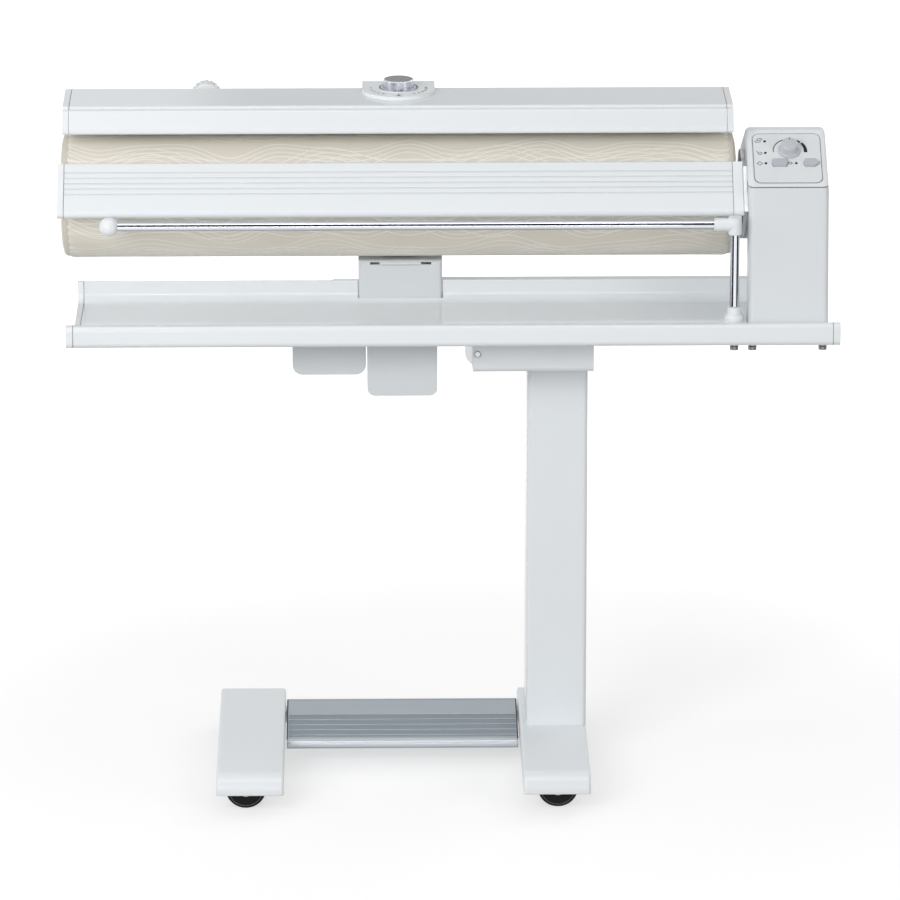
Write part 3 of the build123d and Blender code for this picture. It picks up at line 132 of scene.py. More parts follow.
def blend(tree, share, first, second):
    """A colour between two colours, by a share from 0 to 1."""
    node = add(tree, "ShaderNodeMix", data_type="RGBA", Factor=share)
    low, high = [s for s in node.inputs if s.type == "RGBA"]
    feed(tree, low, first)
    feed(tree, high, second)
    return [s for s in node.outputs if s.type == "RGBA"][0]


def finish(name, light, dark, smooth, rough, grain_scale, grain_height, edge_radius=0.0006, **own):
    """A material with the shared skin, whose tone drifts from light to dark.

    smooth and rough are the ends of its roughness, grain_scale counts grains to a metre, and
    own sets any other socket of the shader.
    """
    material = bpy.data.materials.new(name)
    material.use_nodes = True
    material.diffuse_color = (*light, 1)
    tree = material.node_tree
    surface = add(tree, "ShaderNodeGroup", node_tree=skin, Grain_scale=grain_scale, Grain_height=grain_height,
                  Smoothest=smooth, Roughest=rough, Edge_radius=edge_radius).outputs
    colour = blend(tree, surface["Tone"], (*light, 1), (*dark, 1))
    fill(tree, tree.nodes["Principled BSDF"], Base_Color=colour, Roughness=surface["Roughness"],
         Normal=surface["Normal"], **own)
    return material


print("skin:", len(skin.nodes), "nodes")

# %% [markdown]
# Two whites cover nearly the whole machine. The sheet parts are powder coated: smooth, a
# little glossy and faintly cool. The covers and feet are moulded, a shade softer, with more
# grain. They differ by only a few hundredths, as on the real machine, because a large
# difference would make the machine look pieced together. The tray has the same white under a
# clear gloss. The head's front cover is greyed a little, which is painted shade. The drive
# boxes and the arm's cover are greyed more, which is painted shadow from the tray and the
# roller above them. Knobs, ink, rubber and felt follow.

# %% Whites
coat_light, coat_dark = (0.81, 0.845, 0.872), (0.795, 0.83, 0.857)
white_coat = finish("white powder coat", coat_light, coat_dark, 0.14, 0.22, 500, 0.000008, edge_radius=0.0018)
tray_coat = finish("glossy tray coat", coat_light, coat_dark, 0.10, 0.14, 400, 0.000004,
                   Coat_Weight=0.8, Coat_Roughness=0.05)
white_mould = finish("white moulded cover", (0.825, 0.855, 0.875), (0.81, 0.84, 0.86), 0.26, 0.36,
                     900, 0.000015, edge_radius=0.0014)
# The head's front cover is white greyed by painted shade.
head_white_painted_shade = finish("white drive head cover", (0.72, 0.75, 0.77), (0.705, 0.735, 0.755), 0.26, 0.36,
                    900, 0.000015)
# The drive boxes and the arm's cover are white greyed by painted shadow from the tray and the roller.
painted_shadow_grey = finish("white greyed by painted shadow", (0.67, 0.70, 0.72), (0.655, 0.685, 0.705), 0.30, 0.40,
                     900, 0.000015)
panel_grey = finish("pale grey panel", (0.77, 0.80, 0.815), (0.755, 0.785, 0.80), 0.30, 0.38, 700, 0.00001)
print("finishes so far:", len(bpy.data.materials))

# %% Greys, blacks and soft finishes
# A grey moulding, also used for the painted highlight on the castor wheels.
grey_mould_and_highlight = finish("grey moulded knob", (0.22, 0.23, 0.245), (0.20, 0.21, 0.225), 0.35, 0.45, 900, 0.00002)
lilac_mould = finish("pale button", (0.50, 0.53, 0.57), (0.48, 0.51, 0.55), 0.3, 0.4, 900, 0.00001)
pearl = finish("pearl grey knob", (0.55, 0.57, 0.61), (0.51, 0.53, 0.57), 0.18, 0.26, 900, 0.000006)
gap_grey = finish("shadow in a seam", (0.16, 0.17, 0.18), (0.13, 0.14, 0.15), 0.6, 0.7, 900, 0.00001)
dark_mould = finish("dark grey housing", (0.055, 0.058, 0.062), (0.045, 0.047, 0.05), 0.4, 0.5, 700, 0.00003)
# Black plastic, also used for the painted shadow in the gaps beside the pedal.
black_mould_and_gap_shadow = finish("black bearing plastic", (0.015, 0.015, 0.016), (0.02, 0.02, 0.02), 0.4, 0.5,
                     700, 0.00002)
black_rubber = finish("black tyre rubber", (0.006, 0.006, 0.006), (0.010, 0.010, 0.010), 0.6, 0.75,
                      700, 0.00003, Specular_IOR_Level=0.25)
# Black print, also used for the dark crosses that paint the shade in screw recesses.
ink_and_recess_shade = finish("printed ink", (0.012, 0.013, 0.014), (0.02, 0.021, 0.022), 0.35, 0.45, 900, 0.000004,
             Specular_IOR_Level=0.15)
board_green = finish("circuit board", (0.02, 0.09, 0.04), (0.015, 0.07, 0.03), 0.3, 0.4, 400, 0.00001)
felt = finish("needled felt", (0.70, 0.66, 0.58), (0.62, 0.58, 0.50), 0.9, 1.0, 700, 0.0004, Sheen_Weight=0.4)
print("finishes so far:", len(bpy.data.materials))

# %% [markdown]
# The metals differ in how they spread a reflection. The rail is chrome plated and mirrors the
# room sharply, and the shoe's plate is polished. Brackets are zinc plated, which is duller and
# slightly mottled, and the screws are a darker zinc. The pedal is anodised aluminium, drawn
# through a die, so its grain runs along the bar.

# %% Metals
chrome = finish("chrome plate", (0.60, 0.62, 0.66), (0.57, 0.59, 0.63), 0.04, 0.09,
                300, 0.000002, Metallic=1.0)
satin = finish("satin metal knob", (0.62, 0.64, 0.69), (0.56, 0.58, 0.63), 0.22, 0.30,
               300, 0.000006, Metallic=0.9)
zinc = finish("zinc plate", (0.60, 0.61, 0.62), (0.50, 0.51, 0.52), 0.30, 0.42, 250, 0.00001, Metallic=1.0)
dark_zinc = finish("dark zinc screw", (0.26, 0.27, 0.28), (0.20, 0.21, 0.22), 0.28, 0.38,
                   250, 0.00001, Metallic=1.0)
polished = finish("polished shoe", (0.80, 0.81, 0.82), (0.76, 0.77, 0.78), 0.10, 0.18,
                  300, 0.000004, Metallic=1.0)
die_lines = (6, 1400, 1400)


def drawn_aluminium(name, light, dark):
    """Anodised aluminium with fine lines along X, left by the die."""
    material = finish(name, light, dark, 0.34, 0.44, 300, 0.000004, Metallic=0.85)
    tree = material.node_tree
    normal = tree.nodes["Principled BSDF"].inputs["Normal"]
    place = add(tree, "ShaderNodeTexCoord").outputs["Object"]
    stretched = add(tree, "ShaderNodeMapping", Vector=place, Scale=die_lines).outputs["Vector"]
    lines = add(tree, "ShaderNodeTexNoise", Vector=stretched, Scale=1.0, Detail=2.0).outputs["Fac"]
    relief = add(tree, "ShaderNodeBump", Strength=0.35, Distance=0.00005, Height=lines,
                 Normal=normal.links[0].from_socket)
    feed(tree, normal, relief.outputs["Normal"])
    return material


aluminium = drawn_aluminium("drawn aluminium", (0.42, 0.46, 0.495), (0.38, 0.42, 0.455))
# A darker aluminium for the strips between the pedal's grooves.
tread_aluminium = drawn_aluminium("darker tread aluminium", (0.27, 0.31, 0.345), (0.24, 0.28, 0.315))
# Bright aluminium that paints highlights on the pedal.
highlight_aluminium = drawn_aluminium("painted highlight aluminium", (0.59, 0.63, 0.66), (0.53, 0.57, 0.60))
print("finishes so far:", len(bpy.data.materials))

# %% [markdown]
# The roller's cotton cover is beige, with pale thin lines that wander along it like drifting
# sand. A picture of that pattern isn't needed: a line is where the distance round the roller,
# bent by slow waves along its length, comes close to a multiple of a spacing. Three sets of
# such lines with different waves cross one another, and no set repeats in step with another.

# %% Lines that wander


def middle_of(box):
    """The middle of a box, which is given as its lowest and highest corners."""
    return sum(box, Vector()) / 2


roller_centre = middle_of(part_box("roller_shaft"))
sleeve_low, sleeve_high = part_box("roller_cloth")
roller_radius = (sleeve_high.z - sleeve_low.z) / 2
round_trip = 2 * pi * roller_radius
line_core, line_fade = 0.0004, 0.0011
line_strength, line_colour = 0.75, (0.95, 0.93, 0.86, 1)
drift_reach = 0.030


def wandering_lines(tree, along, around, spacing, bundle, filled, waves):
    """1 on the lines of one set and 0 between them. Bundles of lines fill a share of the way round."""
    bent = around
    for height, length, phase in waves:
        swing = maths(tree, "SINE", maths(tree, "MULTIPLY_ADD", along, 2 * pi / length, phase))
        bent = maths(tree, "MULTIPLY_ADD", swing, height, bent)
    across = maths(tree, "FRACT", maths(tree, "DIVIDE", bent, spacing))
    away = maths(tree, "ABSOLUTE", maths(tree, "SUBTRACT", across, 0.5))
    fade = add(tree, "ShaderNodeMapRange", interpolation_type="SMOOTHSTEP", Value=away,
               From_Min=line_fade / spacing, From_Max=line_core / spacing)
    in_bundle = maths(tree, "LESS_THAN", maths(tree, "FRACT", maths(tree, "DIVIDE", bent, bundle)), filled)
    return maths(tree, "MULTIPLY", fade.outputs["Result"], in_bundle)


print("way round the roller:", round(round_trip * 1000), "mm")

# %% Cotton cover
cotton = finish("cotton cover", (0.80, 0.755, 0.66), (0.76, 0.71, 0.61), 0.85, 0.95, 1400, 0.00012,
                edge_radius=0.0001, Sheen_Weight=0.25, Sheen_Roughness=0.5)
tree = cotton.node_tree
base_colour = tree.nodes["Principled BSDF"].inputs["Base Color"]
place = add(tree, "ShaderNodeTexCoord").outputs["Object"]
drift = add(tree, "ShaderNodeTexNoise", Vector=place, Scale=5.0, Detail=0.0).outputs["Fac"]
split = add(tree, "ShaderNodeSeparateXYZ", Vector=place).outputs
sideways = maths(tree, "SUBTRACT", split["Y"], roller_centre.y)
upwards = maths(tree, "SUBTRACT", split["Z"], roller_centre.z)
around = maths(tree, "MULTIPLY", maths(tree, "ARCTAN2", sideways, upwards), roller_radius)
around = maths(tree, "MULTIPLY_ADD", drift, drift_reach, around)
# Each set has its spacing, the width of a bundle, the share it fills, and waves as (height, length, phase).
line_sets = (
    (0.0072, round_trip / 10, 0.55, ((0.009, 0.156, 0.4), (0.003, 0.091, 2.0))),
    (0.0090, round_trip / 8, 0.50, ((0.011, 0.213, 2.9), (0.004, 0.119, 0.7))),
    (0.0115, round_trip / 7, 0.45, ((0.008, 0.127, 4.6), (0.005, 0.251, 1.1))))
drawn = 0.0
for line_set in line_sets:
    drawn = maths(tree, "MAXIMUM", drawn, wandering_lines(tree, split["X"], around, *line_set))
shown = maths(tree, "MULTIPLY", drawn, line_strength)
feed(tree, base_colour, blend(tree, shown, base_colour.links[0].from_socket, line_colour))
print("cotton:", len(line_sets), "sets of lines")

# %% [markdown]
# Each solid is named after a real piece and knows its slot in the record. One table from slot
# to finish therefore dresses the whole frame, and a slot without a finish would show at once.
# A second table names the few pieces that differ from the rest of their slot.

# %% Dress the solids
finish_of_slot = {
    "white_paint": white_coat, "white_plastic": white_mould, "grey_plastic": grey_mould_and_highlight,
    "dark_grey_plastic": dark_mould, "lilac_plastic": lilac_mould, "black_rubber": black_rubber,
    "black_plastic": black_mould_and_gap_shadow, "chrome": chrome, "steel": zinc, "aluminium": aluminium,
    "hot_plate": polished, "cloth": cotton, "felt": felt, "circuit": board_green}
own_finish = {
    "control_panel": panel_grey, "temperature_knob": satin, "speed_knob": lilac_mould, "tray": tray_coat,
    "drive_box_left": painted_shadow_grey, "drive_box_right": painted_shadow_grey, "arm_cover": painted_shadow_grey,
    "head_front_cover": head_white_painted_shade, "machine_screws": dark_zinc}
for part in frame["record"]["subparts"]:
    materials = nodes[part["node"]].data.materials
    materials.clear()
    materials.append(own_finish.get(part["node"], finish_of_slot[part["material_slot"]]))

# %% [markdown]
# Much of what is added here is small: a seam, a printed sign, a screw's recess. Each has to be
# a closed mesh that rides with the solid that carries it. Ready-made cubes and cylinders would
# need many moves to get there, and rows of points are simpler. A bead is a row of small rings,
# a turned form is one outline repeated round an axis, and a flat sign is its outline twice. So
# one helper puts faces between rows, and every other shape uses it.

# %% Pieces that ride on a body


def link(thing):
    """Put a thing into the scene, unless it is there already."""
    if thing.name not in bpy.context.scene.collection.objects:
        bpy.context.scene.collection.objects.link(thing)
    return thing


def settle(thing, material, node, smooth_angle=35):
    """Turn the faces outwards, shade and dress an added piece, and let it ride with the body of a solid."""
    body = bmesh.new()
    body.from_mesh(thing.data)
    bmesh.ops.recalc_face_normals(body, faces=body.faces)
    for face in body.faces:
        face.smooth = True
    for rim in body.edges:
        rim.smooth = len(rim.link_faces) == 2 and rim.calc_face_angle(0) < radians(smooth_angle)
    body.to_mesh(thing.data)
    body.free()
    thing.data.materials.clear()
    thing.data.materials.append(material)
    link(thing)
    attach(thing, body_of_node[node])
    return thing


def piece(name, shape, material, node, smooth_angle=35):
    """A closed mesh from a shape, which is (points, faces). It rides with the body of a solid."""
    mesh = bpy.data.meshes.new(name)
    mesh.from_pydata([tuple(point) for point in shape[0]], [], shape[1])
    return settle(bpy.data.objects.new(name, mesh), material, node, smooth_angle)


print("bodies that can carry a piece:", len(set(body_of_node.values())))

# %% Shapes from rows of points


def between(rows, count, endless=True, ringed=True):
    """Faces between rows of count points.

    Endless rows come back to the first row, and a ringed row comes back to its first point.
    """
    faces = []
    for row in range(rows if endless else rows - 1):
        a, b = row * count, (row + 1) % rows * count
        faces += [(a + i, a + (i + 1) % count, b + (i + 1) % count, b + i)
                  for i in range(count if ringed else count - 1)]
    return faces


def prism(low, high):
    """Two outlines with as many points each, closed by their faces and the sides between them."""
    count = len(low)
    ends = [tuple(range(count)), tuple(range(count, 2 * count))]
    return [*low, *high], ends + between(2, count, endless=False)


def joined(shapes):
    """Several shapes as one."""
    points, faces = [], []
    for more_points, more_faces in shapes:
        faces += [tuple(i + len(points) for i in face) for face in more_faces]
        points += more_points
    return points, faces


def round_angles(steps):
    """Even angles once round."""
    return [2 * pi * i / steps for i in range(steps)]


print("a ring of 12 rows of 6 points has", len(between(12, 6)), "faces")

# %% [markdown]
# The roller's padding and its cotton sleeve are soft, so the plain solids give way to pieces
# made for looks. The sleeve is one closed skin, turned in at both ends. It is stretched tight
# over the pad, so no cloth simulation is needed, and a turned outline gives its form.

# %% Turned forms of the roller
shoulder = 0.018
sleeve_opening = 0.056
sleeve_skin = 0.0008
press_room = 0.0007
sleeve_radius = roller_radius - press_room
angles_round = 240


def turned_profile(left, right, radius, opening, corner, bend_steps=9, face_steps=3, level_steps=24):
    """Half of a lengthwise section as (x, r), from the left opening over the top to the right one."""
    bends = [pi / 2 * i / bend_steps for i in range(bend_steps + 1)]
    height, length = radius - corner - opening, right - left - 2 * corner
    face = [(left, opening + height * i / face_steps) for i in range(face_steps)]
    rise = [(left + corner * (1 - cos(bend)), radius - corner * (1 - sin(bend))) for bend in bends]
    level = [(left + corner + length * i / level_steps, radius) for i in range(1, level_steps)]
    half = face + rise
    return half + level + [(left + right - x, r) for x, r in reversed(half)]


def turned(profile):
    """A closed ring of (x, r) points turned round the roller's axis."""
    points = []
    for turn in round_angles(angles_round):
        points += [(x, roller_centre.y + r * cos(turn), roller_centre.z + r * sin(turn)) for x, r in profile]
    return points, between(angles_round, len(profile))


outer = turned_profile(sleeve_low.x, sleeve_high.x, sleeve_radius, sleeve_opening, shoulder)
inner = turned_profile(sleeve_low.x + sleeve_skin, sleeve_high.x - sleeve_skin, sleeve_radius - sleeve_skin,
                       sleeve_opening, shoulder - sleeve_skin)
cut_length = sum(((a - c) ** 2 + (b - d) ** 2) ** 0.5 for (a, b), (c, d) in zip(outer, outer[1:]))
print("the cotton is cut", round(cut_length * 1000), "mm long")

# %% [markdown]
# A drawstring pulls the sleeve tight at both ends, and that puts small folds round each
# shoulder. Pushing points by hand would take long and look uneven. The folds follow a rule, so
# Geometry Nodes make them: a sine round the roller, which grows towards the ends. The sleeve
# lies a little under the plain solid's surface, so its folds still clear the shoe's plate when
# the shoe is down.

# %% Helpers for Geometry Nodes
socket_kinds = {float: "NodeSocketFloat", int: "NodeSocketInt", tuple: "NodeSocketVector"}


def new_tree(name, **values):
    """A tree that takes a mesh, a finish and the named values, and the sockets that give them."""
    tree = bpy.data.node_groups.new(name, "GeometryNodeTree")
    tree.is_modifier = True
    socket(tree, "Geometry", "INPUT", "NodeSocketGeometry")
    for key, value in values.items():
        socket(tree, key.replace("_", " "), "INPUT", socket_kinds[type(value)], value)
    socket(tree, "Finish", "INPUT", "NodeSocketMaterial")
    socket(tree, "Geometry", "OUTPUT", "NodeSocketGeometry")
    return tree, add(tree, "NodeGroupInput").outputs


def end_tree(tree, geometry, material):
    """Make copies real and set the finish, as the last steps of a tree."""
    real = add(tree, "GeometryNodeRealizeInstances", Geometry=geometry).outputs[0]
    dressed = add(tree, "GeometryNodeSetMaterial", Geometry=real, Material=material).outputs[0]
    add(tree, "NodeGroupOutput", Geometry=dressed)
    return tree


def applied(name, points, faces, tree, **values):
    """Run a tree on a mesh with values for its named inputs, and keep the plain mesh."""
    mesh = bpy.data.meshes.new(name)
    mesh.from_pydata([tuple(point) for point in points], [], faces)
    thing = link(bpy.data.objects.new(name, mesh))
    modifier = thing.modifiers.new(tree.name, "NODES")
    modifier.node_group = tree
    for item in tree.interface.items_tree:
        key = item.name.replace(" ", "_")
        if item.item_type == "SOCKET" and item.in_out == "INPUT" and key in values:
            modifier[item.identifier] = values[key]
    shown = thing.evaluated_get(bpy.context.evaluated_depsgraph_get())
    mesh = bpy.data.meshes.new_from_object(shown)
    thing.modifiers.clear()
    thing.data = mesh
    return thing


print("kinds of socket:", sorted(socket_kinds.values()))

# %% Gathered ends
fold_wander = 5.0


def gathers():
    """A tree that puts folds round both ends of a sleeve, and a slight unevenness along it."""
    tree, given = new_tree("gathered ends", Left_end=sleeve_low.x, Right_end=sleeve_high.x, Reach=0.024,
                           Folds=38.0, Depth=0.0014, Unevenness=0.0005)
    position = add(tree, "GeometryNodeInputPosition").outputs[0]
    where = add(tree, "ShaderNodeSeparateXYZ", Vector=position).outputs
    side = maths(tree, "SUBTRACT", where["Y"], roller_centre.y)
    up = maths(tree, "SUBTRACT", where["Z"], roller_centre.z)
    away = maths(tree, "SQRT", maths(tree, "ADD", *(maths(tree, "MULTIPLY", way, way) for way in (side, up))))
    from_left = maths(tree, "SUBTRACT", where["X"], given["Left end"])
    from_right = maths(tree, "SUBTRACT", given["Right end"], where["X"])
    nearness = add(tree, "ShaderNodeMapRange", interpolation_type="SMOOTHSTEP",
                   Value=maths(tree, "MINIMUM", from_left, from_right), From_Min=0.0,
                   From_Max=given["Reach"], To_Min=1.0, To_Max=0.0).outputs["Result"]
    quick, slow = [add(tree, "ShaderNodeTexNoise", Scale=scale, Detail=1.0).outputs["Fac"]
                   for scale in (28.0, 16.0)]
    turn = maths(tree, "MULTIPLY_ADD", maths(tree, "ARCTAN2", up, side), given["Folds"],
                 maths(tree, "MULTIPLY", quick, fold_wander))
    wave = maths(tree, "MULTIPLY_ADD", maths(tree, "SINE", turn), 0.5, 0.5)
    fold = maths(tree, "MULTIPLY", maths(tree, "MULTIPLY", wave, nearness), given["Depth"])
    lift = maths(tree, "MULTIPLY_ADD", slow, given["Unevenness"], fold)
    share = maths(tree, "DIVIDE", lift, away)
    shift = add(tree, "ShaderNodeCombineXYZ", Y=maths(tree, "MULTIPLY", side, share),
                Z=maths(tree, "MULTIPLY", up, share)).outputs[0]
    moved = add(tree, "GeometryNodeSetPosition", Geometry=given["Geometry"], Offset=shift).outputs[0]
    return end_tree(tree, moved, given["Finish"])


roller_cover = applied("roller_cover", *turned(outer + inner[::-1]), gathers(), Finish=cotton)
settle(roller_cover, cotton, "roller_cloth", 60)
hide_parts("roller_cloth")
print("sleeve:", len(roller_cover.data.polygons), "faces")

# %% [markdown]
# Under the cotton lies a pad of needled felt, which makes the roller soft. The cotton hides it
# and rests on it. It is turned like the sleeve, with rounded corners and a bore that sits on
# the drum.

# %% Felt pad
pad_low, pad_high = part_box("roller_padding")
core_low, core_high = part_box("roller_core")
pad_corner, pad_room = 0.006, 0.0002
pad_radius, pad_bore = (pad_high.z - pad_low.z) / 2, (core_high.z - core_low.z) / 2 + pad_room
pad_line = turned_profile(pad_low.x, pad_high.x, pad_radius, pad_bore + pad_room, pad_corner)
pad_ring = pad_line + [(pad_high.x, pad_bore), (pad_low.x, pad_bore)]
roller_pad = piece("roller_pad", turned(pad_ring), felt, "roller_padding")
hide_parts("roller_padding")
print("pad:", round((pad_radius - pad_bore) * 1000, 1), "mm of felt")

# %% [markdown]
# Caps close the ends of every long cover, and a hairline shows where they meet. It could be
# drawn by hand on each profile, but a plane that cuts the solid there gives the line to follow,
# so each seam fits its own profile. A thin dark bead along that line is the seam.

# %% Lines where a plane cuts a solid
weld_distance = 0.000005


def welded(node):
    """A solid as a mesh to work on, whose faces share their corners."""
    body = bmesh.new()
    body.from_mesh(nodes[node].data)
    bmesh.ops.remove_doubles(body, verts=body.verts, dist=weld_distance)
    return body


def length_round(line):
    """The length of a closed line."""
    return sum((a - b).length for a, b in zip(line, line[1:] + line[:1]))


def cut_line(node, x):
    """The outermost closed line round a solid where a plane across X cuts it."""
    body = welded(node)
    everything = body.verts[:] + body.edges[:] + body.faces[:]
    cut = bmesh.ops.bisect_plane(body, geom=everything, plane_co=(x, 0, 0), plane_no=(1, 0, 0))["geom_cut"]
    near = {}
    for part in cut:
        if isinstance(part, bmesh.types.BMEdge):
            for a, b in (part.verts, reversed(part.verts)):
                near.setdefault(a, []).append(b)
    loops, left = [], set(near)
    while left:
        line, here = [], left.pop()
        while here is not None:
            line.append(here.co.copy())
            here = next((corner for corner in near[here] if corner in left), None)
            left.discard(here)
        loops.append(line)
    body.free()
    return max(loops, key=length_round)


print("tray bar:", round(length_round(cut_line("tray_front_bar", 0.0)) * 1000), "mm round")

# %% Cap seams
hair = 0.00028


def bead(path, radius, sides=6, closed=False):
    """A thin round bead along a line of points."""
    path = [Vector(point) for point in path]
    count = len(path)
    points, side = [], None
    for i, centre in enumerate(path):
        before = path[(i - 1) % count] if closed or i else centre
        after = path[(i + 1) % count] if closed or i < count - 1 else centre
        ahead = (after - before).normalized()
        side = ahead.orthogonal() if side is None else side
        side = (side - ahead * side.dot(ahead)).normalized()
        up = ahead.cross(side)
        points += [centre + (side * cos(turn) + up * sin(turn)) * radius for turn in round_angles(sides)]
    faces = between(count, sides, endless=closed)
    if not closed:
        faces += [tuple(range(sides)), tuple(range((count - 1) * sides, count * sides))]
    return points, faces


# Each row has the seam, the solid that it runs round, and how many of its ends have a cap.
for name, node, ends in (("heater_cap_seams", "heater_cover", 2), ("feeder_cap_seams", "feeder_plate", 2),
                         ("tray_bar_seams", "tray_front_bar", 2), ("tray_cap_seams", "tray", 1)):
    low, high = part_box(node)
    lines = [bead(cut_line(node, x), hair, closed=True) for x in (low.x + hair, high.x - hair)[:ends]]
    piece(name, joined(lines), gap_grey, node)
    print(name, "at", ends, "ends")

# %% [markdown]
# Two more lines show where pieces meet. The fold pin's head sits in the saddle with a dark ring
# round it. The flap on the arm's cover is outlined by a bent line. That line could be placed by
# eye, but it would sink or float in places. Rays that run into the cover find where each of its
# points lies, so it stays on the surface when it is seen from the side.

# %% Pin ring and flap line
ray_room = 0.03
pin_share, pin_bead, pin_steps = 0.94, 0.0004, 40
flap_left, flap_right = -0.0880, -0.0350
flap_drop, flap_slant, flap_start = 0.0060, 0.0065, 0.0008
flap_bead, flap_steps = 0.00025, 6


def upright_circle(middle, y, radius, steps):
    """Points round a circle that stands across Y."""
    return [(middle.x + radius * cos(turn), y, middle.z + radius * sin(turn)) for turn in round_angles(steps)]


def spots_between(start, end, steps):
    """Even spots from one point to another, with both ends."""
    return [Vector(start).lerp(Vector(end), i / steps) for i in range(steps + 1)]


def drop(node, points, direction):
    """Where rays from the points meet a solid."""
    mesh = nodes[node].data
    surface = BVHTree.FromPolygons([v.co for v in mesh.vertices], [p.vertices for p in mesh.polygons])
    hits = [surface.ray_cast(Vector(point), Vector(direction))[0] for point in points]
    return [hit for hit in hits if hit is not None]


pin_low, pin_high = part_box("fold_pin")
pin_radius = (pin_high.z - pin_low.z) / 2 * pin_share
pin_circle = upright_circle(middle_of((pin_low, pin_high)), pin_low.y, pin_radius, pin_steps)
piece("fold_pin_ring", bead(pin_circle, pin_bead, closed=True), gap_grey, "fold_pin")

arm_low, arm_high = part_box("arm_cover")
flap_y, flap_top, flap_foot = arm_low.y - ray_room, arm_high.z - flap_start, arm_high.z - flap_drop
flap_path = [(flap_left - flap_slant, flap_y, flap_top), (flap_left, flap_y, flap_foot),
             (flap_right, flap_y, flap_foot), (flap_right + flap_slant, flap_y, flap_top)]
flap_points = flap_path[:1]
for start, end in zip(flap_path, flap_path[1:]):
    flap_points += spots_between(start, end, flap_steps)[1:]
flap_line = drop("arm_cover", flap_points, (0, 1, 0))
piece("arm_cover_flap_seam", bead(flap_line, flap_bead), gap_grey, "arm_cover")
print("pin ring:", len(pin_circle), "points; flap line:", len(flap_line), "points")

# %% [markdown]
# The panel slopes, so its signs are drawn flat and a matrix lays them on its face. The matrix
# comes from the panel itself: the middle of its box, and the direction that its face looks in.
# A fine dark line runs round the panel, where it is set into the housing. The outermost points
# of its face give that line.

# %% The panel's face
facing_up, same_height, rim_bead = 0.3, 0.0002, 0.0003
panel = nodes["control_panel"].data
upper_faces = [face for face in panel.polygons if face.normal.z > facing_up]
panel_out = max(upper_faces, key=lambda face: face.area).normal.normalized()
panel_up = panel_out.cross(Vector((1, 0, 0)))
panel_mid = middle_of(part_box("control_panel"))
panel_face = max((p.co - panel_mid).dot(panel_out) for p in panel.vertices)


def on_panel(x, up, lift=0.0):
    """A matrix that lays a flat drawing on the panel, with its origin at (x, up)."""
    place = panel_mid + panel_up * up + panel_out * (panel_face + lift)
    turn = Matrix((Vector((1, 0, 0)), panel_up, panel_out)).transposed().to_4x4()
    return Matrix.Translation((x, place.y, place.z)) @ turn


rim_spots = [Vector((p.co.x, (p.co - panel_mid).dot(panel_up))) for p in panel.vertices
             if (p.co - panel_mid).dot(panel_out) > panel_face - same_height]
rim_line = [on_panel(*rim_spots[i]).translation for i in convex_hull_2d(rim_spots)]
piece("control_panel_seam", bead(rim_line, rim_bead, closed=True), gap_grey,
      "control_panel")
print("panel looks along", [round(v, 2) for v in panel_out], "rim points:", len(rim_line))

# %% [markdown]
# The speed scale is a thin arc round the knob that grows thicker with speed. It is broken in
# three stretches, with a short upright mark over the knob. Printed ink has almost no thickness,
# but two faces at one height flicker, so each mark is a slab that stands a hair above the panel.

# %% Speed scale
print_lift = 0.00006


def slab(outline, thickness, place):
    """A flat sign with an outline, put in place by a matrix, with its top one thickness up."""
    return prism(*([place @ Vector((x, y, z)) for x, y in outline] for z in (-thickness, thickness)))


def place_on_panel(node):
    """Where the middle of a knob or button is on the panel, as (x, up)."""
    points = [v.co for v in nodes[node].data.vertices]
    middle = sum(points, Vector()) / len(points)
    return middle.x, (middle - panel_mid).dot(panel_up)


def sector(radius, thin, thick, start, end, steps=22):
    """A part of a ring, from angle start to end, whose width grows from thin to thick."""
    inside, outside = [], []
    for i in range(steps + 1):
        turn, half = radians(start + (end - start) * i / steps), (thin + (thick - thin) * i / steps) / 2
        inside.append(((radius - half) * cos(turn), (radius - half) * sin(turn)))
        outside.append(((radius + half) * cos(turn), (radius + half) * sin(turn)))
    return inside + outside[::-1]


def upright_bar(width, low, high):
    """The outline of a bar on the middle line, from low to high."""
    return [(-width / 2, low), (width / 2, low), (width / 2, high), (-width / 2, high)]


# Each stretch has its radius, its width at the start and at the end, and its two angles.
scale_stretches = ((0.0206, 0.0009, 0.0016, 187, 93), (0.0207, 0.0017, 0.0030, 88, 46),
                   (0.0210, 0.0034, 0.0048, 41, -8))
knob_x, knob_up = place_on_panel("speed_knob")
scale_outlines = [sector(*stretch) for stretch in scale_stretches] + [upright_bar(0.0006, 0.0185, 0.0222)]
scale_marks = [slab(outline, print_lift, on_panel(knob_x, knob_up)) for outline in scale_outlines]
piece("speed_scale_arc", joined(scale_marks), ink_and_recess_shade, "control_panel")
print("speed scale:", len(scale_marks), "marks")

# %% [markdown]
# Four small signs stand beside four lamps: a loop over a tray, a ring with a tick, a diamond,
# and a ring with a tail. They could be a picture on the panel, but drawn strokes stay sharp at
# any size. Each sign is a few lines of even width.

# %% Signs and lamps on the panel
stroke_width = 0.0008
lamp_x, between_x = 0.4086, 0.4476
key_up = place_on_panel("button_left")[1]
lamp_ups = [key_up + rise for rise in (-0.0005, 0.0185, 0.0395)]
lamp_radius, lamp_thickness, lamp_lift = 0.0016, 0.0004, 0.0003


def stroke(points, closed=False):
    """A drawn line of even width, as quads laid end to end."""
    quads = []
    for (xa, ya), (xb, yb) in zip(points, points[1:] + points[:1] if closed else points[1:]):
        length = ((xb - xa) ** 2 + (yb - ya) ** 2) ** 0.5
        nx, ny = (ya - yb) / length * stroke_width / 2, (xb - xa) / length * stroke_width / 2
        quads.append([(xa + nx, ya + ny), (xb + nx, yb + ny), (xb - nx, yb - ny), (xa - nx, ya - ny)])
    return quads


